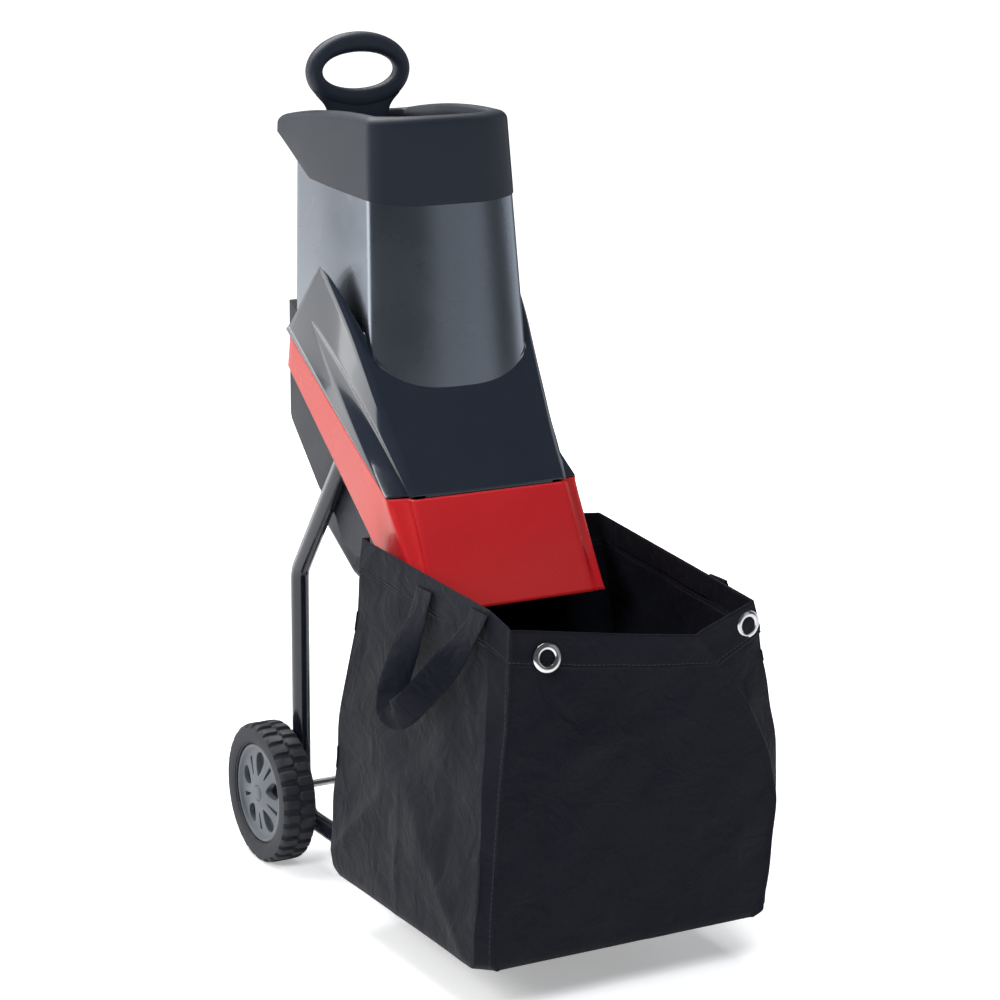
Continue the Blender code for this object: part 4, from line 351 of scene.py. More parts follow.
clothSets = {
    "bagCloth": {"dark": (0.0034, 0.0038, 0.0066), "light": (0.0090, 0.0096, 0.0140), "rough": (0.56, 0.72),
                 "dots": 620.0, "bump": 0.40, "sheen": 0.012, "dust": 0.02, "specular": 0.14},
    "webbing": {"dark": (0.0014, 0.0020, 0.0050), "light": (0.0034, 0.0042, 0.0085), "rough": (0.46, 0.62),
                "dots": 900.0, "bump": 0.5, "sheen": 0.01, "dust": 0.01, "specular": 0.14},
    "thread": {"dark": (0.012, 0.012, 0.016), "light": (0.024, 0.024, 0.030), "rough": (0.5, 0.7),
               "dots": 2000.0, "bump": 0.3, "sheen": 0.04, "dust": 0.0, "specular": 0.3},
}
finishes = {name: makeFinish(name, s) for name, s in hardSets.items()}
finishes |= {name: makeCloth(name, s) for name, s in clothSets.items()}
print("finishes made:", len(finishes))


# surface helpers

def mix(a, b, t):
    return a + (b - a) * t


def gridFaces(rows, cols, closeRows, closeCols):
    # four corner numbers of every cell, counted row by row, wrapping where closed
    i = np.arange(rows if closeRows else rows - 1)[:, None]
    j = np.arange(cols if closeCols else cols - 1)[None, :]
    below, beside = (i + 1) % rows, (j + 1) % cols
    corners = (i * cols + j, i * cols + beside, below * cols + beside, below * cols + j)
    return np.stack(corners, -1).reshape(-1, 4)


def patchMesh(name, patches, merge=2e-5):
    # one mesh from grids of points. Each patch is (points, closeRows, closeCols); shared borders are welded
    allPoints, allFaces, start = [], [], 0
    for points, closeRows, closeCols in patches:
        rows, cols = points.shape[:2]
        allPoints.append(points.reshape(-1, 3))
        allFaces.append(gridFaces(rows, cols, closeRows, closeCols) + start)
        start += rows * cols
    points, faces = np.concatenate(allPoints), np.concatenate(allFaces)
    mesh = bpy.data.meshes.new(name)
    mesh.from_pydata(points.tolist(), [], faces.tolist())
    cleanMesh(mesh, merge)
    return mesh


def cleanMesh(mesh, merge):
    # weld points closer than merge, drop faces without area, turn all faces outwards
    work = bmesh.new()
    work.from_mesh(mesh)
    if merge:
        bmesh.ops.remove_doubles(work, verts=work.verts, dist=merge)
        bmesh.ops.dissolve_degenerate(work, edges=work.edges, dist=1e-6)
    bmesh.ops.recalc_face_normals(work, faces=work.faces)
    work.to_mesh(mesh)
    work.free()


def addPiece(name, mesh, finish, body, stands=(), sharp=40):
    # link a finished mesh as a piece on a body; stands lists the CAD nodes it takes the place of
    mesh.shade_smooth()
    mesh.set_sharp_from_angle(angle=radians(sharp))
    mesh.materials.append(finishes[finish])
    piece = bpy.data.objects.new(name, mesh)
    scene.collection.objects.link(piece)
    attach(piece, body)
    if stands:
        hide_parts(*stands)
    return piece


def addSurface(name, patches, *rest, **more):
    # a piece straight from its patches, with addPiece's other values
    return addPiece(name, patchMesh(name, patches), *rest, **more)


def addBevel(piece, width, segments, angle):
    step = piece.modifiers.new("softEdge", "BEVEL")
    step.width, step.segments = width, segments
    step.limit_method, step.angle_limit = "ANGLE", radians(angle)
    step.use_clamp_overlap, step.harden_normals = True, False


def addWall(piece, thickness):
    # the drawn surface is the outer one; the wall grows inwards
    step = piece.modifiers.new("wall", "SOLIDIFY")
    step.thickness, step.offset, step.use_even_offset = thickness, -1, False


def meshPoints(mesh):
    points = np.empty(len(mesh.vertices) * 3)
    mesh.vertices.foreach_get("co", points)
    return points.reshape(-1, 3)


def nearLine(points, line, reach):
    # 1 on a line of points, falling straight to 0 at the given reach
    gap = np.full(len(points), 1e9)
    for start in range(0, len(points), 4000):
        part = points[start:start + 4000]
        gap[start:start + 4000] = np.sqrt(((part[:, None] - line[None]) ** 2).sum(-1).min(1))
    return np.clip(1.25 - gap / reach, 0, 1)


def softenMesh(mesh, strength, rounds):
    # moves each vertex towards the mean of its neighbours, as far as its strength says; borders stay
    points = meshPoints(mesh)
    ends = np.empty(len(mesh.edges) * 2, dtype=np.int32)
    mesh.edges.foreach_get("vertices", ends)
    a, b = ends[::2], ends[1::2]
    used = np.empty(len(mesh.loops), dtype=np.int32)
    mesh.loops.foreach_get("edge_index", used)
    border = np.bincount(used, minlength=len(a)) == 1
    strength = strength.copy()
    strength[a[border]] = 0
    strength[b[border]] = 0
    count = len(points)
    number = np.bincount(a, minlength=count) + np.bincount(b, minlength=count)
    for _ in range(rounds):
        total = np.stack([np.bincount(a, points[b, k], count) + np.bincount(b, points[a, k], count)
                          for k in range(3)], -1)
        points += (total / number[:, None] - points) * (0.5 * strength)[:, None]
    mesh.vertices.foreach_set("co", points.ravel())
    mesh.update()


def turnedGrid(profile, steps, place):
    # radius and height pairs turned round an axis; place maps (a, b, height) arrays to points
    profile = np.asarray(profile, float)
    turn = 2 * pi * np.arange(steps)[:, None] / steps
    radius, height = profile[None, :, 0], profile[None, :, 1]
    return place(radius * np.cos(turn), radius * np.sin(turn), height + 0 * turn)


def smoothStep(t):
    t = np.clip(t, 0, 1)
    return t ** 2 * (3 - 2 * t)


def mirrored(grid):
    return grid * (-1, 1, 1)


def sweepGrid(path, section, side):
    # a closed section carried along a path; side is the steady sideways direction
    path, section, side = np.asarray(path, float), np.asarray(section, float), np.asarray(side, float)
    run = np.gradient(path, axis=0)
    run /= np.linalg.norm(run, axis=1, keepdims=True)
    up = np.cross(run, side)
    up /= np.linalg.norm(up, axis=1, keepdims=True)
    across = np.cross(up, run)
    return path[:, None] + section[None, :, :1] * across[:, None] + section[None, :, 1:] * up[:, None]


def withCaps(grid):
    # closes a swept section: one more row at each end, all its points in that end's middle
    first, last = (np.broadcast_to(grid[k].mean(0), grid[k].shape)[None] for k in (0, -1))
    return np.concatenate([first, grid, last])


def roundSection(radius, steps):
    turn = 2 * pi * np.arange(steps) / steps
    return np.stack([radius * np.cos(turn), radius * np.sin(turn)], -1)


def boxSection(width, height, radius, steps):
    # a rectangle with rounded corners, centred
    turn = np.concatenate([np.linspace(0, pi / 2, steps) + pi / 2 * k for k in range(4)])
    a = np.repeat([1, -1, -1, 1], steps) * (width / 2 - radius) + radius * np.cos(turn)
    b = np.repeat([1, 1, -1, -1], steps) * (height / 2 - radius) + radius * np.sin(turn)
    return np.stack([a, b], -1)


def bendPath(points, radii):
    # straight runs with rounded corners of so many steps, the straights cut into short pieces
    steps, spacing = 12, 0.012
    points = [Vector(p) for p in points]
    anchors = [points[0]]
    for i in range(1, len(points) - 1):
        before = (points[i - 1] - points[i]).normalized()
        after = (points[i + 1] - points[i]).normalized()
        half = before.angle(after) / 2
        back = radii[i - 1] / tan(half)
        middle = points[i] + (before + after).normalized() * (radii[i - 1] / sin(half))
        first = points[i] + before * back - middle
        axis = first.cross(points[i] + after * back - middle).normalized()
        turn = pi - 2 * half
        anchors += [middle + Matrix.Rotation(turn * k / steps, 3, axis) @ first for k in range(steps + 1)]
    anchors.append(points[-1])
    anchors = np.array([tuple(p) for p in anchors])
    reach = np.concatenate([[0], np.cumsum(np.linalg.norm(np.diff(anchors, axis=0), axis=1))])
    extra = np.arange(0, reach[-1], spacing)
    where = np.unique(np.round(np.concatenate([reach, extra]), 6))
    where = where[np.concatenate([[True], np.diff(where) > 5e-4])]
    return np.stack([np.interp(where, reach, anchors[:, k]) for k in range(3)], -1)


# the tilted deck that carries hood and cover

deck = {"seamY": -0.2665, "seamZ": 0.5226, "tilt": radians(30.6), "length": 0.309, "half": 0.128}


def deckPoint(x, along, up):
    # x stays; along climbs the slope from the seam, up stands square off it
    x, along, up = np.broadcast_arrays(x, along, up)
    y = deck["seamY"] + along * cos(deck["tilt"]) - up * sin(deck["tilt"]) + axleY
    z = deck["seamZ"] + along * sin(deck["tilt"]) + up * cos(deck["tilt"])
    return np.stack([x + 0 * y, y, z], -1)


def deckHeight(y, up):
    # height of the plane that lies so far above the deck
    return deck["seamZ"] + (y - axleY - deck["seamY"]) * tan(deck["tilt"]) + up / cos(deck["tilt"])


# hopper's outline: sizes at two heights, straight walls between them

hopper = {"low": 0.640, "span": 0.320, "half": (0.1063, 0.0925), "front": (-0.1927, -0.1590),
          "rear": (0.0286, 0.0466), "bulge": 0.0195, "bow": 0.0024, "skin": 0.0025, "rearRound": 0.020,
          "frontRound": 0.012, "top": 0.895}


def hopperLine(key, z):
    # half width, front or rear of the hopper at height z
    return mix(*hopper[key], (z - hopper["low"]) / hopper["span"])


# hood: two long ridges, a tapering hollow on each side, a dished top towards the hopper

hood = {"halfLow": 0.0997, "halfHigh": 0.1270, "start": (-0.0149, 0.0123), "end": (0.2455, 0.1376),
        "hollowDepth": 0.0150, "hollowReach": 0.90, "wall": 0.0024, "rows": 150,
        "capCorner": (0.1035, -0.174, 0.692), "capTail": (0.1035, -0.010, 0.679), "bendFrom": 0.68,
        "bend": (0.034, -0.0015), "rimBand": 0.0075, "panelHalf": 0.060, "stripShare": 0.76,
        "hollowDeepest": 0.40, "soften": 28, "bead": 0.0030, "beadHalf": 0.085, "belly": 0.30,
        "bellyPeak": 1.15, "hollowLift": 0.3, "hollowTop": (0.10, 0.58), "hollowFoot": (0.97, 0.585),
        "insideHopper": 0.001, "capInset": 0.24, "capSettle": 0.16, "capDish": 0.004}


def hoodSide(v, q):
    # straight lines from the ridge to the deck edge, bellied out near the seam, less the tapering hollow
    v, q = np.broadcast_arrays(np.asarray(v, float), np.asarray(q, float))
    # towards the horn the ridge bends back
    bend = np.clip((v - hood["bendFrom"]) / (1 - hood["bendFrom"]), 0, 1) ** 2
    ridge = deckPoint(mix(hood["halfLow"], hood["halfHigh"], v),
                      mix(hood["start"][0], hood["end"][0], v) + hood["bend"][0] * bend,
                      mix(hood["start"][1], hood["end"][1], v) + hood["bend"][1] * bend)
    edge = deckPoint(deck["half"], deck["length"] * v, 0.0003)
    point = mix(ridge, edge, q[..., None])
    swell = np.sin(pi * np.minimum(1, hood["bellyPeak"] * q)) * hood["belly"] * (1 - v)
    point[..., 0] += (deck["half"] - point[..., 0]) * swell
    upper, lower = hollowEdges(v)
    s, deepest = (q - upper) / (lower - upper), hood["hollowDeepest"]
    fall = np.sin(pi / 2 * np.clip(s / deepest, 0, 1))
    rise = 1 - np.clip((s - deepest) / (1 - deepest), 0, 1) ** 1.3
    sink = np.where(s < deepest, fall, rise) * ((s > 0) & (s < 1)) * hood["hollowDepth"] * \
        np.clip(1 - v / hood["hollowReach"], 0, 1)
    point[..., 0] -= sink
    point[..., 1] += hood["hollowLift"] * sink
    return point


def hollowEdges(v):
    # upper and lower border of the hollow, as shares of the way from ridge to deck edge; they meet at its tip
    share = np.clip(v / hood["hollowReach"], 0, 1)
    return mix(*hood["hollowTop"], share), mix(*hood["hollowFoot"], share)


def makeHood():
    # five grids welded along their borders (two sides, front panel, two caps), then softened along the ridges
    v = np.linspace(0, 1, hood["rows"])[:, None]
    upper, lower = hollowEdges(v)
    aboveHollow = np.linspace(0, 1, 12)[None, :-1]
    inside = np.concatenate([np.linspace(0, hood["hollowDeepest"], 14),
                             np.linspace(hood["hollowDeepest"], 1, 18)[1:-1]])[None, :]
    belowHollow = np.linspace(0, 1, 7)[None, 1:]
    q = np.concatenate([upper * aboveHollow, mix(upper, lower, inside), lower,
                        mix(lower, 1.0, belowHollow)], 1)
    side = hoodSide(v, q)
    hollowFrom = aboveHollow.shape[1]
    hollowTo = hollowFrom + inside.shape[1]
    horn, corner = side[-1, 0], np.array(hood["capCorner"]) + (0, axleY, 0)
    innerTail = np.array(hood["capTail"]) + (0, axleY, 0)
    # the front panel runs up to the hopper's bowed front, a little inside its outline
    t = np.linspace(-1, 1, 61)
    base, top = deckPoint(0, *hood["start"]), deckPoint(0, *hood["end"])
    slope = (top[2] - base[2]) / (top[1] - base[1])
    z = np.full_like(t, 0.66)
    for _ in range(12):
        y = hopperLine("front", z) + axleY - hopper["bulge"] * (1 - np.abs(t) ** 3) + hood["insideHopper"]
        z = base[2] + (y - base[1]) * slope
    bow = np.stack([t * hopperLine("half", z), y, z], -1)
    bow[0], bow[-1] = mirrored(corner), corner
    foot = np.stack([t * hood["panelHalf"], base[1] + 0 * t, base[2] + 0 * t], -1)
    panel = mix(foot[None], bow[None], v[..., None])
    # between panel and ridge a strip carries the ridge's backward bend
    run = np.linspace(0, 1, 15)[:, None]
    share = hood["stripShare"]
    across = np.concatenate([share * run, np.linspace(share, 1, 5)[1:, None]])
    strip = mix(panel[:, -1:], side[:, :1], across[None])
    # the top: a narrow rim along the shoulder line, then a dished slope down to the hopper's side
    shoulder = side[-1]
    q1 = q[-1][:, None]
    settle = smoothStep(q1 / hood["capSettle"])
    inset = mix(hood["capInset"] * (corner - horn)[None], np.array([[-hood["rimBand"], 0.0, -0.0012]]),
                settle) * (1 - 0.5 * q1)
    ledge = shoulder + inset
    inner = mix(corner[None], innerTail[None], q1)
    band = mix(ledge[None], shoulder[None], np.linspace(0, 1, 5)[:, None, None])
    cap = mix(inner[None], ledge[None], run[..., None])
    cap[..., 2] -= hood["capDish"] * np.sin(pi * run) * settle[:, 0]
    patches = [(panel, False, False)]
    for grid in (side, strip, band, cap):
        patches += [(grid, False, False), (mirrored(grid), False, False)]
    mesh = patchMesh("hoodShell", patches, 6e-5)
    points = meshPoints(mesh)
    points[:, 0] = np.abs(points[:, 0])
    climb = np.clip((points[:, 2] - base[2]) / (horn[2] - base[2]), 0, 1)
    fade = np.clip(1 - climb / 0.75, 0, 1)
    # what is softened: a line, how strongly, and how far from it, which changes with the climb
    strength = np.zeros(len(points))
    for line, amount, reach in ((side[:, 0], 1, mix(0.0022, 0.0062, climb ** 1.3)),
                                (strip[:, 0], 1, mix(0.0110, 0.0040, climb)),
                                (shoulder, 1, mix(0.004, 0.0055, climb)),
                                (ledge, 1, mix(0.003, 0.0045, climb)),
                                (side[:, hollowFrom], 0.10 * fade, 0.0016),
                                (side[:, hollowTo], 0.14 * fade, 0.0020)):
        strength = np.maximum(strength, amount * nearLine(points, line, reach))
    softenMesh(mesh, strength, hood["soften"])
    addWall(addPiece("hoodShell", mesh, "hoodBlack", "hopper_unit", ("hood",), sharp=70), hood["wall"])
    # the rolled bead along the foot, its centre one radius inside the front panel
    radius, half = hood["bead"], hood["beadHalf"]
    lean = np.arctan2(top[2] - base[2], top[1] - base[1])
    beadY, beadZ = base[1] + radius * sin(lean), base[2] - radius * cos(lean)
    rod = turnedGrid([(0, -half), (radius, -half), (radius, half), (0, half)], 24,
                     lambda a, b, h: np.stack([h, beadY + a, beadZ + b], -1))
    addSurface("hingeBead", [(rod, True, False)], "hoodBlack", "hopper_unit")


makeHood()


# red chute cover: wall round the deck, its front drawn down to the lip

cover = {"wall": 0.0030, "lipHalf": 0.1225, "lipY": -0.3508, "lipZ": 0.4029, "tailY": -0.300, "tailZ": 0.4080,
         "stripFront": 0.0678, "stripRear": 0.0330, "rows": 34, "seat": 0.0034, "seatTilt": radians(28),
         "turn": 0.0145, "endTop": 0.292, "endLow": 0.281, "endLowTurn": 0.0090, "swell": 0.0022,
         "soften": 40, "knots": (0, 0.10, 0.29, 0.62, 0.97), "dropShare": (1, 1, 0.95, 0.8, 0.45),
         "lipIn": (0.021, 0.017, 0.012, 0.006, 0.001), "lipBack": (0, 0.0002, 0.0008, 0.0010, 0.0012)}


def stripLow(along):
    # depth of the side strip, less towards the rear
    return mix(cover["stripFront"], cover["stripRear"], along / deck["length"])


def coverLines():
    # half of the wall's upper and lower border, from the middle of the front round to the rear end, and the
    # numbers of the columns where the ridge and the deck's corner meet the upper border
    drop = np.array([0, -sin(cover["seatTilt"]), -cos(cover["seatTilt"])]) * cover["seat"]
    lipPoint = np.array([0, cover["lipY"] - 0.0005 + axleY, cover["lipZ"] - 0.001])
    lift, lipHalf = deck["half"], cover["lipHalf"]

    def lip(x, back=0.0):
        return lipPoint + np.stack([x, back + 0 * x, back * 0.4 + 0 * x], -1)
    x = np.linspace(0, 1, 22)[:-1]
    top = [deckPoint(hood["halfLow"] * x, *hood["start"]) + drop]
    low = [lip((lipHalf - cover["lipIn"][0]) * x)]
    # under the hood's side the border follows the hollow's end; the lip's corner is rounded
    q = np.concatenate([[0, 0.05], np.linspace(0.10, 0.97, 22)])
    share, inwards, back = (np.interp(q, cover["knots"], cover[key])
                            for key in ("dropShare", "lipIn", "lipBack"))
    top.append(hoodSide(0.0, q) + drop * share[:, None])
    low.append(lip(lipHalf - inwards, back))
    # the side's first part reaches down to the lip's tail
    s = np.linspace(0, 1, 9)
    top.append(deckPoint(lift, mix(0.001, 0.022, s), -0.0003))
    corner = lip(np.array([lipHalf]), 0.0045)[0]
    tail = np.array([lipHalf + 0.001, cover["tailY"] + axleY, cover["tailZ"]])
    start = deckPoint(lift, 0.0012, -stripLow(0.0012))
    low.append(np.where((s < 0.5)[:, None], mix(corner, tail, np.minimum(1, s * 2)[:, None]),
                        mix(tail, start, np.maximum(0, s * 2 - 1)[:, None])))
    # at the rear end the strip turns the corner; its upper border reaches further back than its lower one
    turn = np.linspace(0, pi / 2, 9)[1:]
    bendX = lift - cover["turn"] + cover["turn"] * np.cos(turn)
    for rows, last, reach in ((top, cover["endTop"], cover["turn"]),
                              (low, cover["endLow"], cover["endLowTurn"])):
        for x, along in ((lift, np.linspace(0.030, last, 30)), (bendX, last + reach * np.sin(turn))):
            rows.append(deckPoint(x, along, -0.0003 if rows is top else -stripLow(along)))
    return np.concatenate(top), np.concatenate(low), len(top[0]), len(top[0]) + len(top[1])


def makeCover():
    top, low, ridgeAt, cornerAt = coverLines()
    top, low = (np.concatenate([mirrored(line)[:0:-1], line]) for line in (top, low))
    middle = len(top) // 2
    t = np.linspace(0, 1, cover["rows"])[:, None, None]
    wallGrid = mix(top[None], low[None], t)
    # a slight swell keeps the wide front from reading as a flat board
    front = np.exp(-((wallGrid[..., 0] / 0.095) ** 4))
    wallGrid[..., 1] -= cover["swell"] * front * np.sin(pi * t[..., 0])
    mesh = patchMesh("coverShell", [(wallGrid, False, False)])
    points = meshPoints(mesh)
    points[:, 0] = np.abs(points[:, 0])
    # the crease below each ridge is rounder at the top than at the lip
    fall = np.clip((points[:, 2] - cover["lipZ"]) / 0.10, 0, 1)
    strength = np.maximum(nearLine(points, np.abs(wallGrid[:, middle + ridgeAt]), mix(0.004, 0.010, fall)),
                          0.35 * nearLine(points, wallGrid[:, middle + cornerAt], 0.004))
    softenMesh(mesh, strength, cover["soften"])
    addWall(addPiece("coverShell", mesh, "coverRed", "base", ("chute_cover",), sharp=60), cover["wall"])


makeCover()
print("hood and cover made")


# hopper and feed rim

def hopperOutline(z, inset, rear, rearRound):
    # plan of the hopper at height z: front bowed as a cube, sides slightly, corners eased by quadratic curves
    half = hopperLine("half", z) - inset
    front = hopperLine("front", z) + inset
    back = (hopperLine("rear", z) if rear is None else rear) - inset
    r = max(0.002, rearRound - inset)
    f = max(0.003, hopper["frontRound"] - inset)
    ease = np.linspace(0, 1, 12)[:, None]

    def curve(a, b, c):
        a, b, c = np.array(a), np.array(b), np.array(c)
        return a * (1 - ease) ** 2 + 2 * b * ease * (1 - ease) + c * ease ** 2
    edge = 1 - f / half
    bowY = front - hopper["bulge"] * (1 - edge ** 3)
    t = np.linspace(-edge, edge, 62)[1:-1]
    straight = np.linspace(0, 1, 22)[1:-1][:, None]
    rearLine = mix(np.array([half - r, back]), np.array([-half + r, back]), straight)
    leftCorner = curve((-half + r, back), (-half, back), (-half, back - r))
    leftLine = mix(np.array([-half, back - r]), np.array([-half, front + f]), straight)
    leftLine[:, 0] -= hopper["bow"] * np.sin(pi * straight[:, 0])
    leftFront = curve((-half, front + f), (-half, front), (-half * edge, bowY))
    bow = np.stack([half * t, front - hopper["bulge"] * (1 - np.abs(t) ** 3)], -1)
    flip = np.array([-1, 1])
    return np.concatenate([rearLine, leftCorner, leftLine, leftFront, bow, (leftFront * flip)[::-1],
                           (leftLine * flip)[::-1], (leftCorner * flip)[::-1]])


def hopperRing(heightAt, inset, rear=None, rearRound=hopper["rearRound"]):
    # wall points run straight from the low outline to the high one; the ring takes each at its height
    low, high = (hopperOutline(hopper["low"] + rise, inset, rear, rearRound) for rise in (0, hopper["span"]))
    share = np.full((len(low), 1), 0.5)
    for _ in range(6):
        flat = mix(low, high, share)
        height = heightAt(flat[:, 0], flat[:, 1]) + 0 * flat[:, 0]
        share = ((height - hopper["low"]) / hopper["span"])[:, None]
    return np.concatenate([flat + (0, axleY), height[:, None]], 1)


def stackRows(rings, steps):
    # straight rows between rings, each gap cut into steps
    rows = [mix(a, b, k / steps) for a, b in zip(rings, rings[1:]) for k in range(steps)]
    return np.stack(rows + [rings[-1]])


def makeHopper():
    # outside and inside wall, from just above the deck up to the rim's seat, joined at both ends
    sides = []
    for inset in (0.0, hopper["skin"]):
        rings = [hopperRing(lambda x, y: deckHeight(y + axleY, 0.0006), inset),
                 hopperRing(lambda x, y: hopper["top"], inset)]
        sides.append(stackRows(rings, 28))
    grid = np.concatenate([sides[0], sides[1][::-1]])
    addSurface("hopperShell", [(grid, True, True)], "hopperGraphite", "hopper_unit", ("hopper_body",), 50)


makeHopper()

rim = {"topFront": 0.952, "topRear": 0.931, "arch": 0.007, "low": 0.849, "dip": 0.006, "rise": 0.06,
       "beakRise": 0.38, "beakStart": -0.012, "proud": 0.0015, "beak": 0.091, "lip": 0.010, "lipWide": 0.014,
       "seatGap": 0.0003, "corner": 0.009,
       "mouth": ((0.0004, 0.0133, 0.022), (0.0025, 0.0170, 0.024), (0.009, 0.0195, 0.026),
                 (0.018, 0.0202, 0.026))}


def rimLowZ(x, y):
    # lower border: dips at the front corners, climbs slowly to the rear and faster under the beak
    cornerY = hopperLine("front", rim["low"])
    bow = np.clip((cornerY - y) / hopper["bulge"], 0, 1)
    climb = rim["rise"] * np.maximum(0, y - cornerY) + rim["beakRise"] * np.maximum(0, y - rim["beakStart"])
    return rim["low"] + rim["dip"] * (1 - bow) + climb


def rimTopZ(x, y):
    # upper border: a shallow arch that falls from front to rear
    front = hopper["front"][1]
    t = np.clip((y - front) / (rim["beak"] - front), 0, 1)
    return mix(rim["topFront"], rim["topRear"], t) + rim["arch"] * 4 * t * (1 - t)


def rimRing(drop, inset, corner):
    # a ring at the given drop below the rim's upper border
    return hopperRing(lambda x, y: rimTopZ(x, y) - drop, inset, rim["beak"], corner)


def makeFeedRim():
    # rings from the lower border up the outside, over the rolled lip, down mouth and funnel to the seat
    lip, wide, proud, corner = rim["lip"], rim["lipWide"], -rim["proud"], rim["corner"]
    seatTop = hopper["top"] + rim["seatGap"]

    def belly(x, y):
        return mix(rimLowZ(x, np.minimum(y, hopper["rear"][1])), rimTopZ(x, y), 0.5)
    outer = [hopperRing(rimLowZ, proud), hopperRing(belly, proud, rim["beak"], corner),
             rimRing(lip, proud, corner)]
    turn = np.linspace(0, pi / 2, 9)[1:]
    rolled = [rimRing(lip * (1 - sin(k)), proud + wide * 0.72 * (1 - cos(k)), corner + 0.012 * (1 - cos(k)))
              for k in turn]
    mouth = [rimRing(*ring) for ring in rim["mouth"]]
    funnel = [mouth[-1], hopperRing(lambda x, y: seatTop, 0.003)]
    seat = [hopperRing(lambda x, y: seatTop, -rim["seatGap"]), hopperRing(rimLowZ, -rim["seatGap"])]
    grid = np.concatenate([stackRows(outer, 10), np.stack(rolled), stackRows(mouth, 3),
                           stackRows(funnel, 12)[1:], stackRows(seat, 6)])
    addSurface("feedRim", [(grid, True, True)], "collarDark", "hopper_unit", ("feed_collar",), 50)


makeFeedRim()


# push stick: oval ring handle, flared stem and paddle

stick = {"x": -0.018, "y": 0.018, "ringWidth": 0.139, "ringHeight": 0.094, "ringZ": 0.989, "bar": 0.020,
         "depth": 0.022, "stemHalf": 0.039, "stemThick": 0.016, "paddleHalf": 0.0440, "paddleTop": 0.82,
         "ringMore": 0.25, "squareness": 0.85, "neckFrom": 0.93, "neckMore": 1.15,
         "foot": ((0, -0.002), (0.002, 0)),
         "flare": ((0.78, 0), (0.80, -0.0004), (0.815, -0.0018), (0.835, 0.0014), (0.855, 0.0002), (0.90, 0)),
         "neck": ((-0.016, 0), (-0.008, 0.0004), (-0.002, 0.0012), (0.003, 0.0030), (0.008, 0.0062),
                  (0.013, 0.0110), (0.018, 0.0160), (0.021, 0.0170))}


def makeStick():
    # ring: an ellipse with a rounded section, thicker at top and bottom. Stem: rounded boxes stacked in z
    turn = 2 * pi * np.arange(144)[:, None] / 144
    around = 2 * pi * np.arange(28)[None, :] / 28
    thick = stick["bar"] * (1 + stick["ringMore"] * np.sin(turn) ** 2)
    rx, rz = stick["ringWidth"] / 2 - thick / 2, stick["ringHeight"] / 2 - thick / 2
    nx, nz = np.cos(turn) / rx, np.sin(turn) / rz
    size = np.hypot(nx, nz)
    out, deep = (np.sign(wave) * np.abs(wave) ** stick["squareness"]
                 for wave in (np.cos(around), np.sin(around)))
    out, deep = out * thick / 2, deep * stick["depth"] / 2
    ring = np.stack([stick["x"] + rx * np.cos(turn) + nx / size * out, stick["y"] + axleY + deep + 0 * turn,
                     stick["ringZ"] + rz * np.sin(turn) + nz / size * out], -1)
    # height and extra half width: paddle's foot, the flare above it, and the sweep into the ring's lower bar
    low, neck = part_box("plunger")[0].z, stick["ringZ"] - stick["ringHeight"] / 2
    z, half = np.array([(low + a, b) for a, b in stick["foot"]] + [*stick["flare"]] +
                       [(neck + a, b) for a, b in stick["neck"]]).T
    half = half + np.where(z < stick["paddleTop"], stick["paddleHalf"], stick["stemHalf"])
    thickness = stick["stemThick"] * np.where(z < stick["neckFrom"], 1, stick["neckMore"])
    thickness[0], thickness[-1] = thickness[0] * 0.8, thickness[-1] * 0.6
    fine = np.linspace(z[0], z[-1], 90)
    halfFine, thickFine = np.interp(fine, z, half), np.interp(fine, z, thickness)
    unit = boxSection(2.0, 2.0, 0.45, 7)
    stem = np.stack([stick["x"] + unit[None, :, 0] * halfFine[:, None],
                     stick["y"] + axleY + unit[None, :, 1] * thickFine[:, None] / 2,
                     fine[:, None] + 0 * unit[None, :, 0]], -1)
    addSurface("pushStick", [(ring, True, True), (withCaps(stem), False, True)], "collarDark", "push_stick",
               ("plunger",), 50)


makeStick()
print("hopper, feed rim and push stick made")


# wheels

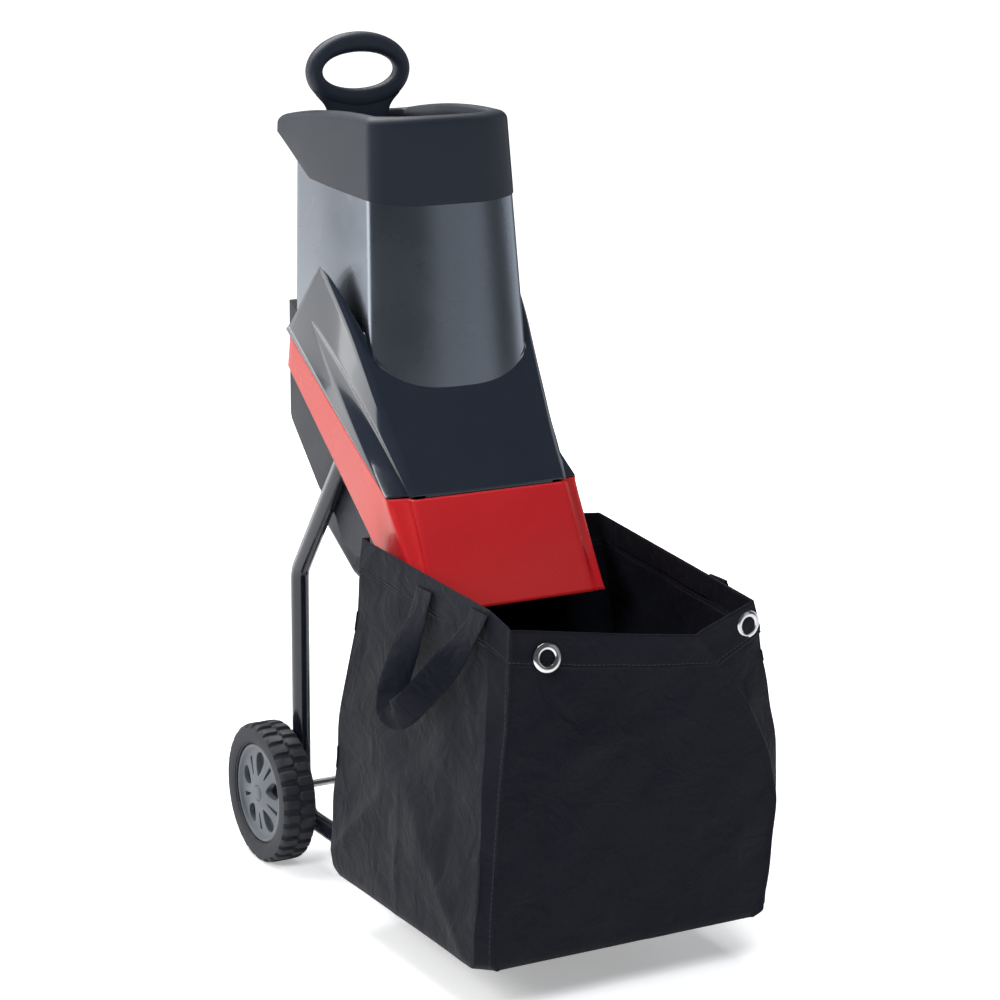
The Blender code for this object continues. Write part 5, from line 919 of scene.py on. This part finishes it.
wheel = {"radius": 0.089, "width": 0.044, "innerX": 0.1335, "lugs": 30, "lugDepth": 0.0042, "zigzag": 0.10,
         "lugHalf": 0.34, "lugFlank": 0.07, "grooveHalf": 0.05, "grooveFlank": 0.06, "crown": 0.003,
         "faceIn": 0.004,
         "sidewall": ((0.0832, 0.995), (0.0828, 1.0), (0.0815, 0.992), (0.0795, 0.998), (0.076, 1.0),
                      (0.072, 0.990), (0.069, 0.968), (0.0665, 0.940), (0.0658, 0.880), (0.0638, 0.862)),
         "spokePairs": 5, "firstHole": radians(18), "holeAt": 0.0378, "holeHalf": 0.0150,
         "slot": (0.026, 0.049), "cut": (-0.014, 0.004), "capDepth": 0.006,
         "treadRows": ((-0.97, -0.80, 5), (-0.74, 0.74, 33), (0.80, 0.97, 5)),
         "rim": ((0.0051, "inner", -0.0085), (0.0125, "inner", -0.0085), (0.0140, "inner", -0.0070),
                 (0.0140, "face", -0.008), (0.034, "face", -0.0095), (0.0545, "face", -0.010),
                 (0.0545, "inner", 0.0065), (0.0555, "inner", 0.006), (0.0630, "inner", 0.006),
                 (0.0635, "inner", 0.0065), (0.0635, "face", -0.0020), (0.0622, "face", -0.0004),
                 (0.0605, "face", 0.0002), (0.0585, "face", -0.0005), (0.0570, "face", -0.0030),
                 (0.0550, "face", -0.0042), (0.0480, "face", -0.0036), (0.0360, "face", -0.0018),
                 (0.0220, "face", 0), (0.0150, "face", 0.0006), (0.0125, "face", 0.0010),
                 (0.0104, "face", 0.0009), (0.0104, "outer", -0.0115), (0.0051, "outer", -0.0115)),
         "cap": ((0, "capEnd", 0.0008), (0.0098, "capEnd", 0.0008), (0.0100, "capEnd", 0.0012),
                 (0.0100, "outer", -0.0034), (0.0096, "outer", -0.0028), (0.0080, "outer", -0.0020),
                 (0.0050, "outer", -0.0013), (0, "outer", -0.0010))}


def axlePlace(side):
    # a and b lie in the wheel's plane, the height runs outwards on one side
    def place(a, b, out):
        a, b, out = np.broadcast_arrays(a, b, out)
        return np.stack([side * out, axleY + a, wheel["radius"] + b], -1)
    return place


def makeTyre(word, side):
    # section turned round the axle; the tread is a row of rounded blocks on each side of a zigzag groove
    half, steps = wheel["width"] / 2, 720
    turn = 2 * pi * np.arange(steps)[:, None] / steps
    w = np.concatenate([np.linspace(*run) for run in wheel["treadRows"]])[None]
    phase = turn * wheel["lugs"] / (2 * pi)
    zig = wheel["zigzag"] * (2 * np.abs(2 * (phase % 1) - 1) - 1)
    rowPhase = np.where(w > zig, phase, phase + 0.5) % 1
    block = np.clip((wheel["lugHalf"] - np.abs(rowPhase - 0.5)) / wheel["lugFlank"], 0, 1)
    fromGroove = np.clip((np.abs(w - zig) - wheel["grooveHalf"]) / wheel["grooveFlank"], 0, 1)
    rounded = np.clip((1.02 - np.abs(w)) / 0.16, 0, 1) ** 0.5
    base = wheel["radius"] - wheel["lugDepth"] - wheel["crown"] * np.abs(w) ** 6
    tread = base + wheel["lugDepth"] * block * fromGroove * rounded
    # sidewalls: a bead line at the shoulder, a smooth bulge, a step where the rim begins
    wallR, wallH = np.array(wheel["sidewall"]).T[:, None] + 0 * turn
    radius = np.concatenate([wallR[:, ::-1], tread, wallR], 1)
    across = half * np.concatenate([-wallH[:, ::-1], w + 0 * turn, wallH], 1)
    grid = axlePlace(side)(radius * np.cos(turn), radius * np.sin(turn), wheel["innerX"] + half + across)
    addSurface(f"tyre{word}", [(grid, True, True)], "tyreRubber", f"wheel_{word.lower()}",
               (f"tyre_{word.lower()}",), 46)


def wheelGrid(key, steps, side):
    # a profile from the wheel's settings turned round the axle: radius, and height from a named level
    outer = wheel["innerX"] + wheel["width"]
    levels = {"inner": wheel["innerX"], "outer": outer, "face": outer - wheel["faceIn"],
              "capEnd": outer - wheel["capDepth"]}
    return turnedGrid([(r, levels[level] + more) for r, level, more in wheel[key]], steps, axlePlace(side))


def plug(place, y, z, low, high):
    # a closed plug along the axle with the outline (y, z)
    rings = [place(y, z, h) for h in (low, high)]
    ends = [np.broadcast_to(place(np.mean(y), np.mean(z), h), rings[0].shape) for h in (low, high)]
    return np.stack([ends[0], *rings, ends[1]])


def makeRim(word, side):
    # dished face and barrel turned round the axle, with teardrop holes and slots cut between the spokes
    place, face = axlePlace(side), wheel["innerX"] + wheel["width"] - wheel["faceIn"]
    piece = addSurface(f"wheelRim{word}", [(wheelGrid("rim", 160, side), True, True)], "rimGrey",
                       f"wheel_{word.lower()}", (f"rim_{word.lower()}",))
    # outlines as distance along and across a spoke: a teardrop, and a slot that widens outwards
    t, s = 2 * pi * np.arange(36) / 36, np.linspace(0, 1, 12)
    hole = wheel["holeAt"] + wheel["holeHalf"] * np.cos(t), \
        wheel["holeHalf"] * np.sin(t) * (0.66 + 0.34 * np.cos(t))
    slotEdge, slotHalf = mix(*wheel["slot"], s), 0.0012 + 0.0018 * s
    slot = np.concatenate([slotEdge, slotEdge[::-1]]), np.concatenate([slotHalf, -slotHalf[::-1]])
    cutters = []
    for k in range(wheel["spokePairs"]):
        turn = 2 * pi / wheel["spokePairs"] * k + wheel["firstHole"]
        for (r, w), a in ((hole, turn), (slot, turn + pi / wheel["spokePairs"])):
            y, z = r * cos(a) - w * sin(a), r * sin(a) + w * cos(a)
            cutters.append((plug(place, y, z, face + wheel["cut"][0], face + wheel["cut"][1]), False, True))
    cutter = bpy.data.objects.new(f"rimCut{word}", patchMesh(f"rimCut{word}", cutters, 1e-6))
    scene.collection.objects.link(cutter)
    step = piece.modifiers.new("holes", "BOOLEAN")
    step.operation, step.solver, step.object = "DIFFERENCE", "EXACT", cutter
    applyModifiers(piece)
    bpy.data.objects.remove(cutter)
    addBevel(piece, 0.0007, 2, 42)


def applyModifiers(piece):
    # bake the live modifiers into the piece's own mesh
    graph = bpy.context.evaluated_depsgraph_get()
    baked = bpy.data.meshes.new_from_object(piece.evaluated_get(graph))
    piece.modifiers.clear()
    old = piece.data
    piece.data = baked
    bpy.data.meshes.remove(old)
    baked.name = piece.name


def makeCap(word, side):
    # a shallow domed lid on the hub
    addSurface(f"hubCap{word}", [(wheelGrid("cap", 64, side), True, False)], "rimGrey",
               f"wheel_{word.lower()}", (f"hub_cap_{word.lower()}",))


for wheelWord, wheelSide in (("Left", -1), ("Right", 1)):
    makeTyre(wheelWord, wheelSide)
    makeRim(wheelWord, wheelSide)
    makeCap(wheelWord, wheelSide)
print("wheels made")


# tube stand

stand = {"radius": 0.0115, "bore": 0.0100, "legX": 0.1125, "knee": 0.372, "lean": radians(37.2),
         "kneeBend": 0.036, "footBend": 0.034, "baseZ": 0.054, "jointY": -0.120, "frontY": -0.425,
         "cornerBend": 0.034, "topUp": -0.039}


def makeTube(name, path, side, stands):
    # a round section carried along the path, outside and bore, joined at both ends
    outer, inner = (sweepGrid(path, roundSection(stand[key], 36), side) for key in ("radius", "bore"))
    grid = np.concatenate([outer, inner[::-1]])
    addSurface(name, [(grid, True, True)], "tubeBlack", "base", stands, 50)


def makeStand():
    # above the knee each leg leans back until it is as far under the deck as topUp says
    lean, tilt, baseZ, x = stand["lean"], deck["tilt"], stand["baseZ"], stand["legX"]
    startUp = (stand["knee"] - deck["seamZ"]) * cos(tilt) + deck["seamY"] * sin(tilt)
    upper = (stand["topUp"] - startUp) / (sin(lean) * sin(tilt) + cos(lean) * cos(tilt))
    for word, side in (("Left", -1), ("Right", 1)):
        points = [(side * x, axleY - sin(lean) * upper, stand["knee"] + cos(lean) * upper),
                  (side * x, axleY, stand["knee"]), (side * x, axleY, baseZ),
                  (side * x, axleY + stand["jointY"], baseZ)]
        path = bendPath(points, [stand["kneeBend"], stand["footBend"]])
        makeTube(f"leg{word}", path, (1, 0, 0), (f"leg_tube_{word.lower()}",))
    rear, front = axleY + stand["jointY"] - 0.0003, axleY + stand["frontY"]
    corners = [(-x, rear, baseZ), (-x, front, baseZ), (x, front, baseZ), (x, rear, baseZ)]
    path = bendPath(corners, [stand["cornerBend"]] * 2)
    makeTube("baseTube", path, (0, 0, 1), ("base_tube",))


makeStand()
print("stand made")


# catch bag: a lofted shell of cloth with a hem, edge seams, folds, two strap loops and eyelets

bag = {"half": 0.187, "rear": -0.232, "front": -0.607, "low": 0.0658, "cloth": 0.0014, "bellyLeft": 0.187,
       "bellyRight": 0.205, "dip": 0.412, "dipHalf": 0.128, "rimRear": -0.247, "hem": 0.040, "rows": 100,
       "cornerLeft": (-0.1362, -0.532, 0.4550), "frontLeft": (-0.1280, -0.5645, 0.4400),
       "frontRight": (0.082, -0.602, 0.415), "cornerRight": (0.167, -0.592, 0.441),
       "rearLeft": (-0.156, -0.264, 0.478), "rearRight": (0.158, -0.272, 0.474),
       "counts": (10, 4, 22, 22, 4, 10, 40, 40, 16, 24, 24, 24, 16, 40, 40), "frontSeams": (9, 12),
       "pullMiddle": (0, 0, 0, 0, 0, 0, 0.15, 0.25, 0.36, 0.40, 0.25, 0.05, 0, 0, 0),
       "pullHigh": (0.55, 0.55, 0.55, 0.55, 0.55, 0.55, 0.68, 0.70, 0.76, 0.77, 0.66, 0.52, 0.42, 0.38, 0.45),
       "welt": 0.0022, "weltWidth": 0.0026, "hemProud": 0.00095, "stitchUp": 0.0035, "stitchDeep": 0.0010,
       "slack": ((0.0022, 31, 17, 1.0, 23, -21, 0.0), (0.0013, 67, -43, 2.1, 59, 37, 0.6))}

# creases pressed into the cloth: start and end (y from the axle), width and depth
bagFolds = (
    ((-0.187, -0.46, 0.40), (-0.187, -0.50, 0.16), 0.014, 0.0030),
    ((-0.06, -0.600, 0.40), (-0.10, -0.607, 0.10), 0.018, 0.0035),
    ((0.05, -0.600, 0.36), (0.09, -0.607, 0.12), 0.024, 0.0040),
    ((-0.02, -0.600, 0.30), (0.03, -0.607, 0.09), 0.026, 0.0030),
    ((0.190, -0.42, 0.40), (0.190, -0.50, 0.14), 0.022, 0.0045),
    ((0.190, -0.34, 0.36), (0.190, -0.28, 0.12), 0.024, 0.0045))
bagCreases = (
    ((-0.187, -0.404, 0.236), (-0.187, -0.236, 0.085), 0.016, 0.0065),
    ((-0.187, -0.404, 0.236), (-0.187, -0.575, 0.072), 0.018, 0.0065),
    ((-0.187, -0.404, 0.236), (-0.187, -0.405, 0.070), 0.009, 0.0035),
    ((-0.187, -0.404, 0.236), (-0.187, -0.424, 0.330), 0.010, -0.0035),
    ((-0.187, -0.50, 0.37), (-0.187, -0.43, 0.27), 0.012, -0.0040),
    ((-0.172, -0.604, 0.290), (-0.051, -0.606, 0.300), 0.014, 0.0065),
    ((-0.051, -0.606, 0.300), (0.060, -0.606, 0.318), 0.016, 0.0050),
    ((0.0207, -0.606, 0.240), (0.052, -0.604, 0.378), 0.012, -0.0060),
    ((0.105, -0.607, 0.150), (0.085, -0.607, 0.260), 0.014, -0.0045),
    ((-0.120, -0.602, 0.340), (-0.150, -0.605, 0.230), 0.010, -0.0045))


def bagPlan(left, right, grow, cutOff):
    # the bag seen from above as a rectangle with cut corners, fifteen points
    rear, front = bag["rear"] + grow, bag["front"] - grow
    c, d = cutOff, bag["dipHalf"]
    return np.array([
        (right, rear - c), (d + 0.014, rear), (d, rear), (0, rear), (-d, rear), (-d - 0.012, rear),
        (-left, rear - c), (-left, mix(rear, front, 0.4)), (-left, front + c), (-left + c, front),
        (-left * 0.3, front), (right * 0.3, front), (right - c, front), (right, front + c),
        (right, mix(rear, front, 0.4))])


def bagRim():
    # the same fifteen points on the rim, with the dip under the chute at the rear
    rear, d, dip = bag["rimRear"], bag["dipHalf"], bag["dip"]
    fl, fr, cl, cr, rl, rr = (np.array(bag[key]) for key in (
        "frontLeft", "frontRight", "cornerLeft", "cornerRight", "rearLeft", "rearRight"))
    return np.array([
        rr, (d + 0.014, rear - 0.002, rr[2] - 0.004), (d, rear, dip), (0, rear, dip), (-d, rear, dip),
        (-d - 0.012, rear - 0.002, rl[2] - 0.004), rl, mix(rl, cl, 0.5), cl, fl,
        mix(fl, fr, 0.36) + (0, 0.003, -0.001), mix(fl, fr, 0.72) + (0, 0.001, -0.001), fr, cr,
        mix(rr, cr, 0.5)])


def closedRun(points, counts):
    # straight runs between the fifteen points, each cut into its own number of steps
    parts = []
    for i, n in enumerate(counts):
        run = np.linspace(0, 1, n, endpoint=False)[:, None]
        run = run - 0.75 * np.sin(2 * pi * run) / (2 * pi)      # closer together near the corners
        parts.append(mix(points[i], points[(i + 1) % len(points)], run))
    return np.concatenate(parts)


def bagSurface():
    # rows from the floor to the rim, smoothly blended between five drawn levels. A level is its share of the
    # height, its plan, and how far each of its points is pulled towards the rim's
    h, left, right = bag["half"], bag["bellyLeft"], bag["bellyRight"]
    levels = [(0.0, bagPlan(h - 0.001, h + 0.003, -0.004, 0.020), np.zeros(15)),
              (0.03, bagPlan(h + 0.002, h + 0.008, 0.0, 0.014), np.zeros(15)),
              (0.45, bagPlan(left, right, -0.001, 0.012), np.array(bag["pullMiddle"])),
              (0.78, bagPlan(left - 0.002, right, -0.003, 0.020), np.array(bag["pullHigh"])),
              (1.0, bagPlan(h, h, 0, 0.02), np.ones(15))]
    rimPoints, counts = bagRim(), bag["counts"]
    shares = np.array([share for share, _, _ in levels])
    plans = np.stack([closedRun(mix(plan, rimPoints[:, :2], pull[:, None]), counts)
                      for _, plan, pull in levels])
    rimZ = closedRun(rimPoints, counts)[:, 2]
    hemRows = np.linspace(0.878, 0.912, 18)     # closer rows where the hem ends
    t = np.unique(np.concatenate([np.linspace(0, 0.03, 6, endpoint=False), np.linspace(0.03, 1, bag["rows"]),
                                  hemRows]))
    # smooth blend between the levels by a local cubic; the lowest band is a plain quarter bend
    index = np.clip(np.searchsorted(shares, t, side="right") - 1, 0, len(shares) - 2)
    u = ((t - shares[index]) / (shares[index + 1] - shares[index]))[:, None, None]
    slopes = np.concatenate([np.zeros((2, *plans.shape[1:])), np.gradient(plans[1:], shares[1:], axis=0)[1:]])
    span = (shares[index + 1] - shares[index])[:, None, None]
    grid = (2 * u ** 3 - 3 * u ** 2 + 1) * plans[index] + (u ** 3 - 2 * u ** 2 + u) * span * slopes[index] + \
        (-2 * u ** 3 + 3 * u ** 2) * plans[index + 1] + (u ** 3 - u ** 2) * span * slopes[index + 1]
    bend = mix(plans[0], plans[1], np.sin(pi / 2 * np.clip(u, 0, 1)))
    grid = np.where((index == 0)[:, None, None], bend, grid) + (0, axleY)
    return np.concatenate([grid, mix(bag["low"], rimZ[None, :], t[:, None])[..., None]], -1), t


def outward(grid):
    # unit direction away from the middle, square to the run round the bag
    run = np.roll(grid, -1, 1) - np.roll(grid, 1, 1)
    side = np.stack([run[..., 1], -run[..., 0], 0 * run[..., 0]], -1)
    side /= np.maximum(1e-9, np.linalg.norm(side, axis=-1, keepdims=True))
    centre = grid.mean((0, 1)) * (1, 1, 0)
    flip = np.sign(np.sum(side * (grid - centre), -1, keepdims=True))
    return side * np.where(flip == 0, 1, flip)


def besideLine(grid, start, end):
    # the line, each point's share of the way along it, and the gap to it as vector and length
    start, end = (np.array(spot) + (0, axleY, 0) for spot in (start, end))
    line = end - start
    s = np.clip(np.sum((grid - start) * line, -1) / np.sum(line * line), 0, 1)
    gap = grid - start - s[..., None] * line
    return line, s, gap, np.linalg.norm(gap, axis=-1)


def fold(grid, start, end, width, depth):
    # a ridge beside a valley from start to end: the slope of a bell across the line, fading at its ends
    line, s, gap, distance = besideLine(grid, start, end)
    across = np.cross(line, gap)[..., 2] if abs(line[0]) + abs(line[1]) > abs(line[2]) else \
        gap[..., 0] + gap[..., 1] * 0.7
    r = np.sign(across + 1e-12) * distance / width
    return depth * np.sin(pi * np.clip(s, 0.02, 0.98)) ** 0.5 * r * np.exp(0.5 - r * r)


def crease(grid, start, end, width, depth):
    # a sharp line from start to end, highest on the line itself and fading away from it on both sides
    _, s, _, distance = besideLine(grid, start, end)
    return depth * (0.35 + 0.65 * np.sin(pi * s) ** 0.5) * np.exp(-distance / width)


def makeBag():
    grid, t = bagSurface()
    normal = outward(grid)
    # broad slackness of the filled cloth, stronger low down, none at the corners' seams
    x, y, z = grid[..., 0], grid[..., 1], grid[..., 2]
    slack = sum(high * np.sin(x * alongX + z * alongZ + shift) * np.sin(y * acrossY + z * acrossZ + offset)
                for high, alongX, alongZ, shift, acrossY, acrossZ, offset in bag["slack"])
    move = slack * (np.clip(t / 0.10, 0, 1) * np.clip((1 - t) / 0.12, 0, 1))[:, None]
    for shape, lines in ((fold, bagFolds), (crease, bagCreases)):
        for line in lines:
            move = move + shape(grid, *line)
    grid = grid + normal * move[..., None]
    # edge seams: a narrow stitched welt up each front corner
    starts = np.cumsum([0, *bag["counts"]])
    leftSeam, rightSeam = starts[bag["frontSeams"][0]], starts[bag["frontSeams"][1]] + 2
    welt = 0
    for seam in (leftSeam, rightSeam):
        apart = np.linalg.norm(grid - grid[:, seam:seam + 1], axis=-1)
        welt = welt + bag["welt"] * np.exp(-(apart / bag["weltWidth"]) ** 2)
    grid = grid + normal * welt[..., None]
    # hem: folded over, so it stands a little proud, with a stitched dimple at its lower edge
    drop = grid[-1:, :, 2] - grid[..., 2]
    hem = bag["hemProud"] * (1 - np.tanh((drop - bag["hem"]) / 0.0010))
    dimple = bag["stitchDeep"] * np.exp(-((drop - bag["hem"] + bag["stitchUp"]) / 0.0012) ** 2)
    grid = grid + normal * (hem - dimple)[..., None]
    # floor: rows run in to the middle with a slight sag
    shares = np.linspace(0, 1, 10)[:, None, None]
    floor = mix(grid[0].mean(0)[None, None], grid[:1], shares)
    sag = 0.0004 * np.sin(floor[..., 0] * 40) * np.sin(floor[..., 1] * 37)
    floor[..., 2] = bag["low"] + sag * (1 - shares[..., 0])
    patch = (np.concatenate([floor[:-1], grid]), False, True)
    addWall(addSurface("bagShell", [patch], "bagCloth", "base", ("catch_bag",), 60), bag["cloth"])
    # lines for the stitches: round the hem, and up the front corner beside its seam
    columns = np.arange(grid.shape[1])
    rows = np.searchsorted(t, 1 - (bag["hem"] - bag["stitchUp"]) / (grid[-1, :, 2] - bag["low"]))
    up = (t > 0.04) & (t < 0.90)
    return grid, [(grid[rows, columns], normal[rows, columns]),
                  (grid[up, leftSeam - 4], normal[up, leftSeam - 4])]


bagGrid, stitchLines = makeBag()

stitch = {"length": 0.0040, "pitch": 0.0060, "half": 0.00045, "first": 0.004, "last": 0.008}


def makeStitches():
    # each stitch is a short four-sided bar along its line, standing on the cloth
    half, boxes = stitch["half"], []
    for path, away in stitchLines:
        travel = np.concatenate([[0], np.cumsum(np.linalg.norm(np.diff(path, axis=0), axis=1))])
        begin = np.arange(stitch["first"], travel[-1] - stitch["last"], stitch["pitch"])
        ends = []
        for spot in (begin, begin + stitch["length"]):
            at, lift = (np.stack([np.interp(spot, travel, line[:, k]) for k in range(3)], -1)
                        for line in (path, away))
            ends.append((at + lift * half, lift))
        along = ends[1][0] - ends[0][0]
        along /= np.linalg.norm(along, axis=1, keepdims=True)
        side = np.cross(along, ends[0][1]) * half
        rise = ends[0][1] * half
        square = [-side - rise, side - rise, side + rise, -side + rise]
        boxes.append(np.stack([np.stack([end + corner for corner in square], 1) for end, _ in ends], 1))
    boxes = np.concatenate(boxes)                    # stitches, two ends, four corners, xyz
    first = 8 * np.arange(len(boxes))[:, None, None]
    faces = first + np.array([[0, 3, 2, 1], [4, 5, 6, 7], [0, 1, 5, 4], [1, 2, 6, 5], [2, 3, 7, 6],
                              [3, 0, 4, 7]])
    mesh = bpy.data.meshes.new("bagStitches")
    mesh.from_pydata(boxes.reshape(-1, 3).tolist(), [], faces.reshape(-1, 4).tolist())
    cleanMesh(mesh, 0)
    addPiece("bagStitches", mesh, "thread", "base", sharp=60)


makeStitches()


def sideDistance(y, z, side):
    # how far the bag's side wall stands from the middle plane near (y, z)
    points = bagGrid.reshape(-1, 3)
    points = points[np.sign(points[:, 0]) == side]
    gap = (points[None, :, 1] - y[:, None]) ** 2 + (points[None, :, 2] - z[:, None]) ** 2
    gap = gap + 1e3 * (np.abs(points[None, :, 0]) < 0.10)
    best = np.argsort(gap, 1)[:, :4]
    return np.abs(points[best, 0]).max(1)


strap = {"y": -0.462, "spread": 0.056, "lean": 0.018, "drop": 0.128, "reach": 0.214, "width": 0.036,
         "thick": 0.0022, "twist": 1.1, "sewnBelow": 0.012, "sewnShare": 0.10, "cup": 0.0022,
         "offWall": 0.0016}


def makeStrap(word, side):
    # a webbing band along a hanging loop: a thin rounded section, cupped across, sewn flat at both ends
    rimZ = mix(bag["rearLeft"][2], bag["cornerLeft"][2], 0.7) - strap["sewnBelow"]
    t = np.linspace(0, 1, 72)
    y = axleY + strap["y"] + strap["spread"] * (1 - 2 * t) + strap["lean"] * np.sin(pi * t)
    z = rimZ - strap["drop"] * np.sin(pi * t) ** 0.7
    wall = sideDistance(y, z, side) + strap["offWall"]
    out = mix(wall, strap["reach"] - strap["thick"], np.sin(pi * t) ** 0.9)
    path = np.stack([side * out, y, z], -1)
    run = np.gradient(path, axis=0)
    run /= np.linalg.norm(run, axis=1, keepdims=True)
    # the flat side looks away from the wall where it is sewn, and turns towards the front where it hangs
    face = np.stack([side + 0 * t, -strap["twist"] * np.sin(pi * t) ** 0.8, 0 * t], -1)
    face -= np.sum(face * run, -1, keepdims=True) * run
    face /= np.linalg.norm(face, axis=1, keepdims=True)
    across = np.cross(face, run)
    ends = np.clip(1 - np.minimum(t, 1 - t) / strap["sewnShare"], 0, 1)[:, None]
    flat = np.stack([0 * t, np.sign(across[:, 1] + 1e-9), 0 * t], -1)
    across = mix(across, flat, ends)
    across /= np.linalg.norm(across, axis=1, keepdims=True)
    a = np.concatenate([np.linspace(-0.5, 0.5, 13), np.linspace(0.5, -0.5, 13)]) * strap["width"]
    b = np.concatenate([np.full(13, strap["thick"] / 2), np.full(13, -strap["thick"] / 2)])
    b = b * (1 - 0.5 * (np.abs(a) > strap["width"] * 0.49))
    cup = strap["cup"] * np.sin(pi * t)[:, None] * ((a / strap["width"] * 2) ** 2)[None, :]
    grid = path[:, None] + a[None, :, None] * across[:, None] + (b[None, :] - cup)[..., None] * face[:, None]
    addSurface(f"strap{word}", [(withCaps(grid), False, True)], "webbing", "base",
               (f"bag_handle_{word.lower()}",), 70)


for strapWord, strapSide in (("Left", -1), ("Right", 1)):
    makeStrap(strapWord, strapSide)


def nodeFrame(name):
    # centre and flat direction of a ring-shaped CAD node, from how its points lie
    points = meshPoints(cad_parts[name].data)
    centre = (points.min(0) + points.max(0)) / 2
    direction = np.linalg.svd(points - points.mean(0), full_matrices=False)[2]
    normal = direction[2] if direction[2][1] < 0 else -direction[2]
    return centre, direction[0], np.cross(normal, direction[0]), normal


eyelet = {"radius": 0.0128, "band": 0.0040, "roll": 0.0019, "proud": 0.0030,
          "nudge": {"Left": (0.0065, -0.0011, 0.0), "Right": (0.0045, 0.0006, 0.0035)}}


def makeEyelet(word):
    # a rolled metal ring turned about the hem's own direction
    centre, across, down, out = nodeFrame(f"eyelet_{word.lower()}")
    centre = centre + eyelet["nudge"][word] + eyelet["proud"] * out

    def place(a, b, h):
        a, b, h = np.broadcast_arrays(a, b, h)
        return centre + a[..., None] * across + b[..., None] * down + h[..., None] * out
    turn = np.linspace(0, 2 * pi, 24, endpoint=False)
    section = np.stack([eyelet["radius"] + eyelet["band"] * np.cos(turn),
                        eyelet["roll"] * np.sin(turn) * (1 + 0.35 * np.cos(turn - 2.2))], -1)
    addSurface(f"eyelet{word}", [(turnedGrid(section, 72, place), True, True)], "brightMetal", "base",
               (f"eyelet_{word.lower()}",))


for eyeletWord in ("Left", "Right"):
    makeEyelet(eyeletWord)
print("bag made")


# finishes of the CAD nodes that stay

keptNodes = {
    "housingGrey": ("motor_housing", "blade_chamber", "feed_plate"),
    "collarDark": ("lock_bracket",),
    "footRubber": ("foot_left", "foot_right"),
    "platedSteel": ("axle_rod", "axle_nut_left", "axle_nut_right", "leg_bolt_left", "leg_bolt_right",
                    "bracket_screw_1", "bracket_screw_2", "lock_screw", "lock_sleeve", "bearing_upper",
                    "bearing_lower", "rotor_shaft", "disc_bolt", "knife_screw_a_1", "knife_screw_a_2",
                    "knife_screw_b_1", "knife_screw_b_2"),
    "groundSteel": ("knife_a", "knife_b", "cutting_disc"),
    "laminations": ("stator", "armature"),
    "castMetal": ("bearing_bracket",),
    "carbonBlock": ("carbon_brush_front", "carbon_brush_rear"),
    "blackPlastic": ("cooling_fan", "switch_plate", "inlet_socket", "safety_switch", "lock_knob",
                     "reset_button"),
    "buttonGreen": ("on_button",),
    "buttonRed": ("off_button",),
}
for finishName, nodeNames in keptNodes.items():
    for nodeName in nodeNames:
        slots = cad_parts[nodeName].data.materials
        slots.clear()
        slots.append(finishes[finishName])
print("kept nodes:", sum(map(len, keptNodes.values())))


# floor

def makeFloor():
    mesh = bpy.data.meshes.new("studioFloor")
    mesh.from_pydata([(-60, -60, 0), (60, -60, 0), (60, 60, 0), (-60, 60, 0)], [], [(0, 1, 2, 3)])
    made, tree, shader, coords = newMaterial("paleFloor")
    noise = addNoise(tree, coords, "Object", 3.0, 3.0, 0.5)
    pale = colourMix(tree, noise.outputs["Fac"], (0.86, 0.87, 0.88), (0.90, 0.90, 0.91))
    tree.links.new(pale, shader.inputs["Base Color"])
    shader.inputs["Roughness"].default_value = 0.6
    # the camera also sees some light of the paper's own, so that it stays white far from the lamps too
    looks = addNode(tree, "ShaderNodeLightPath")
    glow = addNode(tree, "ShaderNodeEmission", values={"Color": (1, 1, 1, 1)})
    away = addNode(tree, "ShaderNodeVectorMath", operation="LENGTH")
    wire(tree, coords, "Object", away, 0)
    wire(tree, addRange(tree, away, "Value", 0.6, 2.2, 0.35, 1.1), "Result", glow, "Strength")
    both = addNode(tree, "ShaderNodeAddShader")
    pick = addNode(tree, "ShaderNodeMixShader")
    wire(tree, shader, "BSDF", both, 0)
    wire(tree, glow, "Emission", both, 1)
    wire(tree, looks, "Is Camera Ray", pick, "Fac")
    wire(tree, shader, "BSDF", pick, 1)
    wire(tree, both, "Shader", pick, 2)
    wire(tree, pick, "Shader", tree.nodes["Material Output"], "Surface")
    mesh.materials.append(made)
    floor = bpy.data.objects.new("studioFloor", mesh)
    scene.collection.objects.link(floor)


makeFloor()
